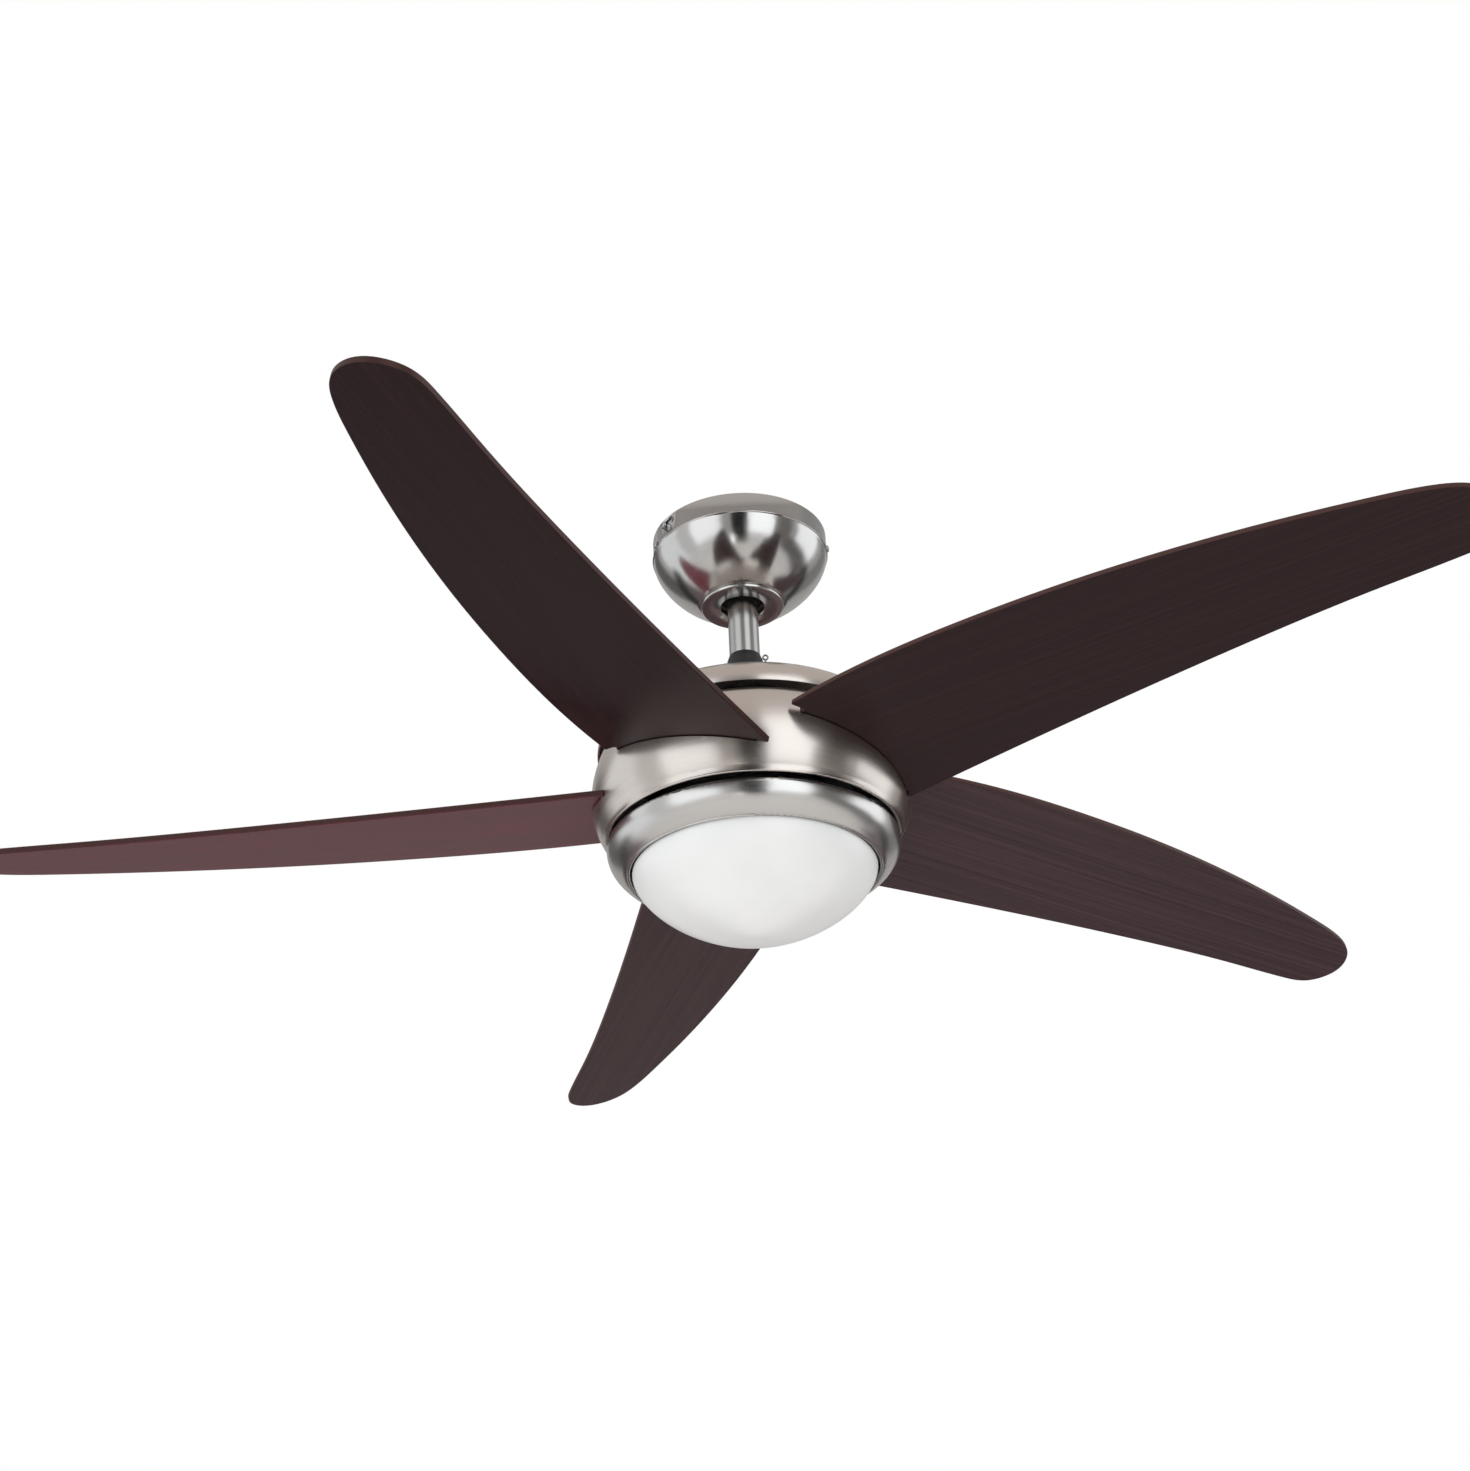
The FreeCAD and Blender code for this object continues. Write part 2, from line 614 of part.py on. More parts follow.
# ---- rotor
def motor_bells():
    boss = bearing_radius + boss_wall
    top_boss = bell_top - bell_plate - bearing_width - 1.5
    plate_z = bell_top - bell_plate
    upper = lathe((boss, top_boss), (bearing_radius, top_boss), (bearing_radius, plate_z),
                  (shaft_radius + 2, plate_z), (shaft_radius + 2, bell_top),
                  (bell_radius - 3, bell_top), (bell_radius, bell_top - 3),
                  (bell_radius, bell_middle), (bell_radius - bell_wall, bell_middle),
                  (bell_radius - bell_wall, plate_z), (boss, plate_z))
    between = first_blade_angle + 180.0 / blade_count
    lug = cylinder(bell_lug_radius, bell_middle, bell_middle + 7, bell_screw_circle)
    lug = lug.cut(cylinder(bell_radius - bell_wall, bell_bottom, bell_top))
    lugs = round_array(lug, blade_count, between)
    bell = upper.multiFuse(lugs)
    mirror = bell.mirror(V(0, 0, bell_middle), UP)
    hole = cylinder(2.1, bell_middle - 8, bell_middle + 8, bell_screw_circle)
    holes = round_array(hole, blade_count, between)
    put("motor_upper_bell", cut_all(bell, holes + shell_screw_holes()))
    put("motor_lower_bell", cut_all(mirror, holes + arm_screw_holes()))
    screw = pan_screw(2.0, 13.5, 3.8, 2.4)
    screw.translate(V(bell_screw_circle, 0, bell_middle + 7))
    put("bell_screws", group(round_array(screw, blade_count, between)))


def shell_screw_holes():
    """Tapped holes in the upper bell that take the shell's screws."""
    return round_array(cylinder(2.0, bell_top - bell_plate - 1, bell_top + 5, shell_screw_circle),
                       blade_count, first_blade_angle)


def arm_screw_holes():
    hole = [cylinder(arm_screw_radius, bell_bottom - 6, bell_bottom + bell_plate + 1, arm_screw_circle, y)
            for y in arm_screw_rows]
    return [turned(h, first_blade_angle + 360.0 * i / blade_count) for i in range(blade_count) for h in hole]


def rotor_shell():
    outside = shell_outline()
    inside = inset(outside, shell_wall)
    inside[0] = (inside[0][0], shell_top_z - shell_wall)
    flange_z = bell_top
    skin = lathe((shell_flange_inner, flange_z + shell_wall), (shell_flange_inner, flange_z),
                 (shell_top_radius - 12, flange_z), inside, outside[::-1],
                 (shell_top_radius - 1.2, shell_top_z + 0.5), (shell_top_radius - 8, flange_z + shell_wall))
    bead = Part.makeTorus(shell_lip_radius - shell_lip + 0.3, shell_lip, V(0, 0, shell_lip_z + 0.2))
    skin = skin.fuse(bead)
    slot = block(tongue_inner - 8, shell_max_radius + 13, tongue_lead - slot_play, tongue_trail + slot_play,
                 -slot_play, blade_thickness + slot_play)
    slots = [blade_frame(slot, i) for i in range(blade_count)]
    bolt = cylinder(2.2, flange_z - 1, flange_z + 5, shell_screw_circle)
    put("rotor_shell", cut_all(skin, slots + round_array(bolt, blade_count, first_blade_angle)))
    screw = pan_screw(1.95, 4.5, 3.8, 2.3)
    screw.translate(V(shell_screw_circle, 0, flange_z + shell_wall))
    put("shell_screws", group(round_array(screw, blade_count, first_blade_angle)))


def blade_outline():
    """Half a leaf: nearly straight along one side and bowed along the other, with a rounded tip."""
    tip = sweep_radius
    clear = shell_max_radius + free_gap
    straight = [(0.132, 46), (0.35, 33), (0.568, 22), (0.788, 14.5), (0.92, 12.3)]
    bowed = [(0.86, -67.5), (0.714, -82), (0.568, -92.5), (0.424, -98.8), (0.278, -101.2), (0.132, -99.6)]
    length = tip - clear
    straight = [(clear + length * share, y) for share, y in straight]
    bowed = [(clear + length * share, y) for share, y in bowed]
    point = [(tip - 15, 6.2), (tip, -18), (tip - 9.5, -42.5), (tip - 38, -58.5)]
    lead_y, notch_y, trail_y = -88.4, -79.5, tongue_trail + 1.5
    lead_x = math.sqrt((clear + 5.6) ** 2 - lead_y ** 2)
    notch_x = math.sqrt((clear + 4) ** 2 - notch_y ** 2)
    trail_x = math.sqrt(clear ** 2 - trail_y ** 2)
    edge = [(trail_x - 4.4, 56.2)] + straight + point + bowed + [(lead_x, lead_y)]
    tongue = [(notch_x, notch_y), (notch_x, tongue_lead), (tongue_inner, tongue_lead),
              (tongue_inner, tongue_trail), (trail_x, tongue_trail), (trail_x, trail_y)]
    return edge, tongue


def blade_holes(radius, low, high):
    return [cylinder(radius, low, high, tongue_inner + blade_screw_inset, y) for y in blade_screw_rows]


def blades():
    edge, tongue = blade_outline()
    corners = [[V(x, y, 0)] for x, y in tongue]
    face = outline_face([[V(x, y, 0) for x, y in edge]] + corners)
    blade = face.extrude(V(0, 0, blade_thickness))
    long_edges = [e for e in blade.Edges if e.Length > sweep_radius / 2]
    blade = blade.makeFillet(blade_edge_round, long_edges)
    blade = cut_all(blade, blade_holes(blade_screw_radius + hole_gap, -1, blade_thickness + 1))
    screw = pan_screw(blade_screw_radius, blade_thickness + arm_plate, 4.8, 2.8)
    screws = []
    for y in blade_screw_rows:
        moved = screw.copy()
        moved.translate(V(tongue_inner + blade_screw_inset, y, blade_thickness))
        screws.append(moved)
    all_screws = []
    for i in range(blade_count):
        put(f"blade_{i + 1}", blade_frame(blade, i))
        all_screws += [blade_frame(s, i) for s in screws]
    put("blade_screws", group(all_screws))


def blade_arms():
    pad = block(arm_riser + 2.5, pad_outer, pad_lead, pad_trail, -arm_plate, 0)
    pad = cut_all(pad, blade_holes(blade_screw_radius, -arm_plate - 1, 1))
    above = block(0, 200, -150, 150, 0, 60)
    foot_low = bell_bottom - arm_plate
    half = arm_width / 2
    riser_outer = arm_riser + arm_riser_wall
    screw = pan_screw(arm_screw_radius - running_gap, arm_plate + bell_plate, 4.6, 2.6)
    screws = []
    for i in range(blade_count):
        angle = first_blade_angle + 360.0 * i / blade_count
        foot = block(arm_foot_inner, riser_outer, -half, half, foot_low, bell_bottom)
        riser = block(arm_riser, riser_outer, -half, half, foot_low, blade_plane_z + 6)
        body = turned(foot.fuse(riser), angle).cut(blade_frame(above, i))
        body = body.fuse(blade_frame(pad, i))
        put(f"blade_arm_{i + 1}", cut_all(body, arm_screw_holes()))
        for y in arm_screw_rows:
            under = facing(screw, (0, 0, -1), (arm_screw_circle, y, foot_low))
            screws.append(turned(under, angle))
    put("arm_screws", group(screws))


# ---- light kit
def light_neck():
    bottom = ring_top_z + 0.2
    neck = lathe((shaft_radius, neck_top), (neck_radius - 1, neck_top), (neck_radius, neck_top - 1),
                 (neck_radius, bottom), (neck_radius - neck_wall, bottom),
                 (neck_radius - neck_wall, neck_top - neck_wall), (shaft_radius, neck_top - neck_wall))
    vents = round_array(cylinder(5, neck_top - 5, neck_top + 1, 60), 6, 15)
    put("light_neck", cut_all(neck, neck_screw_holes() + vents))
    screw = pan_screw(neck_screw_radius, 6, 3.2, 1.8)
    put("ring_screws", group([radial_screw(screw, a, neck_radius, neck_screw_z) for a in neck_screw_angles]))


def neck_screw_holes():
    hole = cylinder(neck_screw_radius, -8, 8)
    return [radial_screw(hole, angle, neck_radius, neck_screw_z) for angle in neck_screw_angles]


def light_ring():
    outside = ring_outline()
    inside = inset(outside, ring_wall)
    inside[0] = (inside[0][0], ring_top_z - ring_wall)
    stand = neck_radius - neck_wall - running_gap
    lip_inner = ring_lip_radius - 2.6
    ring = lathe((stand - ring_wall, ring_top_z + 7), (stand, ring_top_z + 7), (stand, ring_top_z),
                 outside, (lip_inner, ring_bottom), (lip_inner, ring_bottom + ring_wall),
                 (inside[-1][0] - 0.2, ring_bottom + ring_wall), inside[-2::-1],
                 (stand - ring_wall, ring_top_z - ring_wall))
    bead = Part.makeTorus(ring_lip_radius - ring_lip, ring_lip, V(0, 0, ring_bottom - 0.3))
    ledges = [sector(ring_top_radius - 3, glass_radius + 2.2, hook_top - lug_thickness, hook_top, lug_angle,
                     lug_start + 120 * i) for i in range(3)]
    envelope = lathe(outside, (stand / 2, ring_bottom), (stand / 2, ring_top_z))
    ring = ring.fuse(bead).multiFuse([l.common(envelope) for l in ledges])
    put("light_ring", cut_all(ring, neck_screw_holes() + pan_screw_holes(pan_screw_radius)))


def pan_screw_holes(radius):
    return round_array(cylinder(radius, ring_top_z - 6, ring_top_z + 1, neck_radius - 6), 3, 15)


def lamp_parts():
    top = ring_top_z - ring_wall
    dish_outer = neck_radius - 16
    dish_drop = 4.0
    bore = 20.0
    pan = lathe((bore, top - dish_drop - 1), (dish_outer, top - dish_drop - 1),
                (dish_outer + dish_drop, top - 1), (neck_radius + 2, top - 1),
                (neck_radius + 2, top), (dish_outer + dish_drop - 0.5, top),
                (dish_outer - 0.5, top - dish_drop), (bore, top - dish_drop))
    put("lamp_pan", cut_all(pan, pan_screw_holes(pan_screw_radius + hole_gap)))

    cap = bulb_cap_radius
    socket = cap + hole_gap
    holder = lathe((0, 0), (11, 0), (14, 3), (14, 25), (15.5, 25), (15.5, 28),
                   (socket, 28), (socket, 4), (0, 4))
    widest = bulb_radius
    envelope = [(cap + 1.4, 31), (0.51 * widest, 38), (0.78 * widest, 45.5), (0.97 * widest, 54),
                (widest, 60), (0.925 * widest, 68.6), (0.69 * widest, 76.3), (0.38 * widest, 80.8), (0, 82.5)]
    bulb = lathe((0, 4.2), (4, 4.2), (cap, 7), (cap, 28.5), envelope)
    floor = top - dish_drop - 1
    plate = 2.0
    bracket = block(-plate, 0, -12, 12, -12, floor - lamp_z)
    bracket = bracket.fuse(block(-plate - 12, 0, -12, 12, floor - lamp_z - plate, floor - lamp_z))
    for name, piece in (("lamp_holders", facing(holder, (1, 0, 0), (0, 0, 0))),
                        ("lamps", facing(bulb, (1, 0, 0), (0, 0, 0))),
                        ("lamp_brackets", bracket)):
        piece.translate(V(-lamp_back, lamp_y, lamp_z))
        put(name, group(round_array(piece, 2)))

    case = block(24, 64, -14, 14, neck_top - neck_wall - 9, neck_top - neck_wall)
    put("run_capacitor", rounded(case, 2.0))
    screw = pan_screw(pan_screw_radius, 4, 3.0, 1.6)
    down = facing(screw, (0, 0, -1), (neck_radius - 6, 0, top - 1))
    put("pan_screws", group(round_array(down, 3, 15)))


def shade_outline(radius, depth):
    """Half of the shade's bowl, from its rim down to its middle."""
    steps = 9
    points = []
    for i in range(steps):
        a = math.pi / 2 * i / (steps - 1)
        points.append((radius * math.cos(a) ** (2 / glass_roundness),
                       glass_rim_z - depth * math.sin(a) ** (2 / glass_roundness)))
    points[-1] = (0, glass_rim_z - depth)
    return points


def glass_shade():
    rim = glass_radius - 2.6
    neck_high = hook_top - 2.5
    outer = shade_outline(glass_radius, glass_depth)
    inner = shade_outline(glass_radius - glass_wall, glass_depth - glass_wall)
    shade = lathe((rim, neck_high), (rim, glass_rim_z + 2.6), outer, inner[::-1],
                  (rim - glass_wall, glass_rim_z + 2), (rim - glass_wall, neck_high))
    put("glass_shade", shade)
    lug_low = hook_top + free_gap
    collar = tube(rim + 1.0, rim, glass_rim_z + 3.2, lug_low + 2)
    lugs = [sector(glass_radius + 4.2, rim + 0.5, lug_low, lug_low + lug_thickness, lug_angle - 4,
                   lug_start + 2 + 120 * i) for i in range(3)]
    put("shade_collar", collar.multiFuse(lugs))


def main():
    for make in (ceiling_bracket, canopy, wiring, hanger, downrod, yoke, shaft, top_cap, stator,
                 bearings, motor_bells, rotor_shell, blades, blade_arms, light_neck, light_ring,
                 lamp_parts, glass_shade):
        make()
    os.makedirs("parts", exist_ok=True)
    for name, shape in PARTS.items():
        if not shape.isValid():
            print("not valid:", name)
        shape.exportStep(f"parts/{name}.step")
    print(len(PARTS), "pieces")


main()
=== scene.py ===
import json
import math

import bmesh
import bpy
from mathutils import Matrix, Vector


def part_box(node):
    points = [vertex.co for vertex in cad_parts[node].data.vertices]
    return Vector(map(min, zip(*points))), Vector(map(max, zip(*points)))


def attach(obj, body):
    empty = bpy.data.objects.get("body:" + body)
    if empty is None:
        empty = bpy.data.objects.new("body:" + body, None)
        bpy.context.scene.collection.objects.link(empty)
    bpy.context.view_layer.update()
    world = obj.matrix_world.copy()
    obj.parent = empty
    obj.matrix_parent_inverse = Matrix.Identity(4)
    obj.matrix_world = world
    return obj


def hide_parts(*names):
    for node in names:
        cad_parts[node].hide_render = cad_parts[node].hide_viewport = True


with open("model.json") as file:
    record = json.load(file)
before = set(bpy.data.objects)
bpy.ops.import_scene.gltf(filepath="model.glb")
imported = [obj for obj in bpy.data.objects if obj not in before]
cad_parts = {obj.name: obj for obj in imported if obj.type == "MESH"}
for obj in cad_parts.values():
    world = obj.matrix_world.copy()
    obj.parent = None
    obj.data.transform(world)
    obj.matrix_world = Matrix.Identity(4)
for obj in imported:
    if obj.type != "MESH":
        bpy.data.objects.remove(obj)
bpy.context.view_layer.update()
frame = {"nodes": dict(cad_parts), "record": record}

print("loaded", len(frame["nodes"]), "nodes")

mm = 0.001
weldDistance = 0.01 * mm   # corners closer than this are one corner
fullTurn = math.tau
record = frame["record"]
slotOf = {piece["node"]: piece["material_slot"] for piece in record["subparts"]}
bodyOf = {node: body for body, nodes in record["behaviour"]["bodies"].items() for node in nodes}


# hex sRGB to the linear colour that shaders take
def linear(hexColour):
    values = [int(hexColour[i:i + 2], 16) / 255 for i in (1, 3, 5)]
    return tuple(v / 12.92 if v <= 0.04045 else ((v + 0.055) / 1.055) ** 2.4 for v in values) + (1.0,)


# one node with its settings; a link is (node, output), a list is several links into one socket, and the rest
# is a value; stops are the (place, colour) pairs of a colour ramp
def add(tree, kind, links=None, stops=(), **settings):
    node = tree.nodes.new(kind)
    for name, value in settings.items():
        setattr(node, name, value)
    for socket, value in (links or {}).items():
        for source in value if isinstance(value, list) else [value]:
            if isinstance(source, tuple) and isinstance(source[0], bpy.types.Node):
                tree.links.new(source[0].outputs[source[1]], node.inputs[socket])
            else:
                node.inputs[socket].default_value = source
    if stops:
        elements = node.color_ramp.elements
        for element, (place, colour) in ((elements[0], stops[0]), (elements[1], stops[-1])):
            element.position, element.color = place, colour
        for place, colour in stops[1:-1]:
            elements.new(place).color = colour
    return node


def newMaterial(name, **shaderValues):
    material = bpy.data.materials.new(name)
    material.use_nodes = True
    tree = material.node_tree
    shader = tree.nodes["Principled BSDF"]
    for socket, value in shaderValues.items():
        shader.inputs[socket.replace("_", " ")].default_value = value
    return material, tree, shader


# what every plated piece shares: how the lathe's lines and the plate's cloudy patches are drawn
plating = {"aroundScale": 2.5, "lineDetail": 4.0, "lineRoughness": 0.6, "cloudScale": 14.0,
           "cloudDetail": 2.0, "cloudShare": 0.4, "toneFrom": 0.3, "toneTo": 0.7, "roughLow": 0.88,
           "roughHigh": 1.12, "reliefDepth": 0.05 * mm,
           "streakTurn": 0.25}   # a quarter turn: highlights stand up the profile, across the lines


# lines left by the spinning lathe: slow round the fan's axis, quick along the profile
def latheLines(tree, width):
    place = add(tree, "ShaderNodeTexCoord")
    split = add(tree, "ShaderNodeSeparateXYZ", {0: (place, "Object")})
    flat = add(tree, "ShaderNodeCombineXYZ", {"X": (split, "X"), "Y": (split, "Y")})
    radius = add(tree, "ShaderNodeVectorMath", {0: (flat, 0)}, operation="LENGTH")
    direction = add(tree, "ShaderNodeVectorMath", {0: (flat, 0)}, operation="NORMALIZE")
    around = add(tree, "ShaderNodeVectorMath", {0: (direction, 0), "Scale": plating["aroundScale"]},
                 operation="SCALE")
    drop = add(tree, "ShaderNodeMath", {0: (split, "Z"), 1: (radius, "Value")}, operation="SUBTRACT")
    along = add(tree, "ShaderNodeMath", {0: (drop, 0), 1: 1 / width}, operation="MULTIPLY")
    up = add(tree, "ShaderNodeCombineXYZ", {"Z": (along, 0)})
    space = add(tree, "ShaderNodeVectorMath", {0: (around, 0), 1: (up, 0)}, operation="ADD")
    return add(tree, "ShaderNodeTexNoise", {
        "Vector": (space, 0), "Scale": 1.0, "Detail": plating["lineDetail"],
        "Roughness": plating["lineRoughness"]})


def nickel(name, look):
    material, tree, shader = newMaterial(name, Metallic=1.0, Anisotropic=look["anisotropy"],
                                         Anisotropic_Rotation=plating["streakTurn"])
    lines = latheLines(tree, look["lineWidth"])
    place = add(tree, "ShaderNodeTexCoord")
    cloud = add(tree, "ShaderNodeTexNoise", {"Vector": (place, "Object"), "Scale": plating["cloudScale"],
                                             "Detail": plating["cloudDetail"]})
    tone = add(tree, "ShaderNodeMix", {0: plating["cloudShare"], 2: (lines, "Fac"), 3: (cloud, "Fac")},
               data_type="FLOAT")
    colour = add(tree, "ShaderNodeValToRGB", {"Fac": (tone, 0)}, [
        (plating["toneFrom"], linear(look["dark"])), (plating["toneTo"], linear(look["light"]))])
    rough = add(tree, "ShaderNodeMapRange", {
        "Value": (tone, 0), "From Min": plating["toneFrom"], "From Max": plating["toneTo"],
        "To Min": look["rough"] * plating["roughLow"], "To Max": look["rough"] * plating["roughHigh"]})
    bump = add(tree, "ShaderNodeBump", {"Height": (lines, "Fac"), "Strength": look["bump"],
                                        "Distance": plating["reliefDepth"]})
    grain = add(tree, "ShaderNodeTangent", direction_type="RADIAL", axis="Z")
    tree.links.new(colour.outputs[0], shader.inputs["Base Color"])
    tree.links.new(rough.outputs[0], shader.inputs["Roughness"])
    tree.links.new(bump.outputs[0], shader.inputs["Normal"])
    tree.links.new(grain.outputs[0], shader.inputs["Tangent"])
    return material


# nickel over spun steel, satin: warm soft streaks that run down the profile, over lines too fine to count
# (real lines are 0.05 mm apart, and are drawn ten times as wide so that they show)
satinNickel = {"dark": "#c6bdb7", "light": "#cfc7c1", "rough": 0.25, "anisotropy": 0.6, "bump": 0.04,
               "lineWidth": 0.5 * mm}
# the same plate with a finer, cooler grain on the light's ring
ringNickel = {"dark": "#c6c4c2", "light": "#cdcbc9", "rough": 0.25, "anisotropy": 0.6, "bump": 0.03,
              "lineWidth": 0.6 * mm}
# polished nickel: almost a mirror, with bands of light and dark standing up the curve
polishedNickel = {"dark": "#c0bebc", "light": "#c7c5c3", "rough": 0.18, "anisotropy": 0.5, "bump": 0.006,
                  "lineWidth": 0.4 * mm}
# the rod's plate, duller and a little darker than the canopy's; its lines are too faint to count, so they are
# drawn broad and without relief
rodNickel = {"dark": "#a3a19f", "light": "#a7a5a3", "rough": 0.24, "anisotropy": 0.3, "bump": 0.0,
             "lineWidth": 9 * mm}
satinPlate = nickel("satin nickel", satinNickel)
ringPlate = nickel("fine satin nickel", ringNickel)
brightPlate = nickel("polished nickel", polishedNickel)
rodPlate = nickel("dull nickel", rodNickel)


# wenge veneer under satin lacquer: almost black, a little plum, with long faint grain 3 mm apart and short
# pores; the cut edge shows a lighter, redder brown. Each blade's colour is multiplied by its own painted
# light level: painted shade darkens blades 1 and 5, and painted light brightens blades 2 and 3 and, most and
# reddest, blade 4.
wenge = {"dark": "#24191b", "mid": "#2f2023", "light": "#3a282b", "edge": "#3f2a27", "rough": 0.36,
         "roughLow": -0.04, "roughHigh": 0.06, "tint": (1.0, 0.72, 0.74, 1.0), "shine": 0.22,
         "grainWidth": 3 * mm, "alongScale": 2.2, "throughScale": 40, "grainDetail": 5.0,
         "grainRoughness": 0.55, "grainBend": 0.4, "grainTones": (0.25, 0.5, 0.75),
         "poreWidth": 0.7 * mm, "poreLength": 16 * mm, "poreThroughScale": 300, "poreFrom": 0.58,
         "poreTo": 0.7, "poreDark": 0.5, "edgeFrom": 0.75, "edgeTo": 0.45, "relief": 0.12,
         "reliefDepth": 0.1 * mm,
         # painted light per blade, multiplied into its colour: below 1 is painted shade, above 1 is painted
         # light
         "paintedBladeLight": {1: (0.6, 0.5, 0.5), 2: (1.9, 2.3, 2.2), 3: (1.9, 2.1, 2.0), 4: (3.9, 1.8, 2.1),
                    5: (0.6, 0.5, 0.5)}}


def wengeVeneer(name, angle, paintedLightLevel):
    look = wenge
    dark = linear(look["dark"])
    material, tree, shader = newMaterial(name, Specular_Tint=look["tint"], Specular_IOR_Level=look["shine"])
    place = add(tree, "ShaderNodeTexCoord")
    # turned so that X runs out along the blade
    along = add(tree, "ShaderNodeMapping", {"Vector": (place, "Object"), "Rotation": (0, 0, angle)},
                vector_type="TEXTURE")
    stretched = add(tree, "ShaderNodeMapping", {
        "Vector": (along, 0), "Scale": (look["alongScale"], 1 / look["grainWidth"], look["throughScale"])})
    grain = add(tree, "ShaderNodeTexNoise", {
        "Vector": (stretched, 0), "Scale": 1.0, "Detail": look["grainDetail"],
        "Roughness": look["grainRoughness"], "Distortion": look["grainBend"]})
    poreScale = (1 / look["poreLength"], 1 / look["poreWidth"], look["poreThroughScale"])
    poreSpace = add(tree, "ShaderNodeMapping", {"Vector": (along, 0), "Scale": poreScale})
    speckle = add(tree, "ShaderNodeTexNoise", {"Vector": (poreSpace, 0), "Scale": 1.0, "Detail": 1.0})
    pores = add(tree, "ShaderNodeMapRange", {
        "Value": (speckle, "Fac"), "From Min": look["poreFrom"], "From Max": look["poreTo"],
        "To Max": look["poreDark"]})
    low, middle, high = look["grainTones"]
    figure = add(tree, "ShaderNodeValToRGB", {"Fac": (grain, "Fac")}, [
        (low, dark), (middle, linear(look["mid"])), (high, linear(look["light"]))])
    porous = add(tree, "ShaderNodeMix", {0: (pores, 0), 6: (figure, 0), 7: dark}, data_type="RGBA")
    # painted light and shade: the veneer's colour times the blade's painted light level
    lightPainted = add(tree, "ShaderNodeMix", {0: 1.0, 6: (porous, 2), 7: paintedLightLevel + (1,)}, data_type="RGBA",
                blend_type="MULTIPLY")
    side = add(tree, "ShaderNodeSeparateXYZ", {0: (place, "Normal")})
    level = add(tree, "ShaderNodeMath", {0: (side, "Z")}, operation="ABSOLUTE")
    cut = add(tree, "ShaderNodeMapRange", {"Value": (level, 0), "From Min": look["edgeFrom"],
                                           "From Max": look["edgeTo"]})
    colour = add(tree, "ShaderNodeMix", {0: (cut, 0), 6: (lightPainted, 2), 7: linear(look["edge"])},
                 data_type="RGBA")
    rough = add(tree, "ShaderNodeMapRange", {
        "Value": (grain, "Fac"), "To Min": look["rough"] + look["roughLow"],
        "To Max": look["rough"] + look["roughHigh"]})
    depth = add(tree, "ShaderNodeMath", {0: (grain, "Fac"), 1: (pores, 0)}, operation="SUBTRACT")
    bump = add(tree, "ShaderNodeBump", {"Height": (depth, 0), "Strength": look["relief"],
                                        "Distance": look["reliefDepth"]})
    tree.links.new(colour.outputs[2], shader.inputs["Base Color"])
    tree.links.new(rough.outputs[0], shader.inputs["Roughness"])
    tree.links.new(bump.outputs[0], shader.inputs["Normal"])
    return material


# white opal glass, acid etched: even milky white with a soft bloom for a highlight and faint clouding in the
# melt; the etch's grit is 0.4 mm here, coarser than the real one, so that it shows
opal = {"cloudA": "#f4f5f4", "cloudB": "#fbfbfa", "cloudSize": 55 * mm, "cloudFrom": 0.3, "cloudTo": 0.7,
        "etchSize": 0.4 * mm, "rough": 0.32, "roughSpread": 0.04, "ior": 1.5, "coat": 0.25, "coatRough": 0.2}


def opalGlass():
    material, tree, shader = newMaterial("white opal glass", IOR=opal["ior"], Coat_Weight=opal["coat"],
                                         Coat_Roughness=opal["coatRough"])
    place = add(tree, "ShaderNodeTexCoord")
    cloud = add(tree, "ShaderNodeTexNoise", {"Vector": (place, "Object"), "Scale": 1 / opal["cloudSize"],
                                             "Detail": 2.0})
    etch = add(tree, "ShaderNodeTexNoise", {"Vector": (place, "Object"), "Scale": 1 / opal["etchSize"],
                                            "Detail": 1.0})
    colour = add(tree, "ShaderNodeValToRGB", {"Fac": (cloud, "Fac")}, [
        (opal["cloudFrom"], linear(opal["cloudA"])), (opal["cloudTo"], linear(opal["cloudB"]))])
    rough = add(tree, "ShaderNodeMapRange", {
        "Value": (etch, "Fac"), "To Min": opal["rough"] - opal["roughSpread"],
        "To Max": opal["rough"] + opal["roughSpread"]})
    tree.links.new(colour.outputs[0], shader.inputs["Base Color"])
    tree.links.new(rough.outputs[0], shader.inputs["Roughness"])
    return material


# what every plain finish shares: blotches 20 mm or so across under a fine grit
mottle = {"scale": 45.0, "share": 0.5, "detail": 3.0, "toneFrom": 0.35, "toneTo": 0.65, "glossLow": 0.8,
          "glossHigh": 1.2, "reliefDepth": 0.2 * mm}


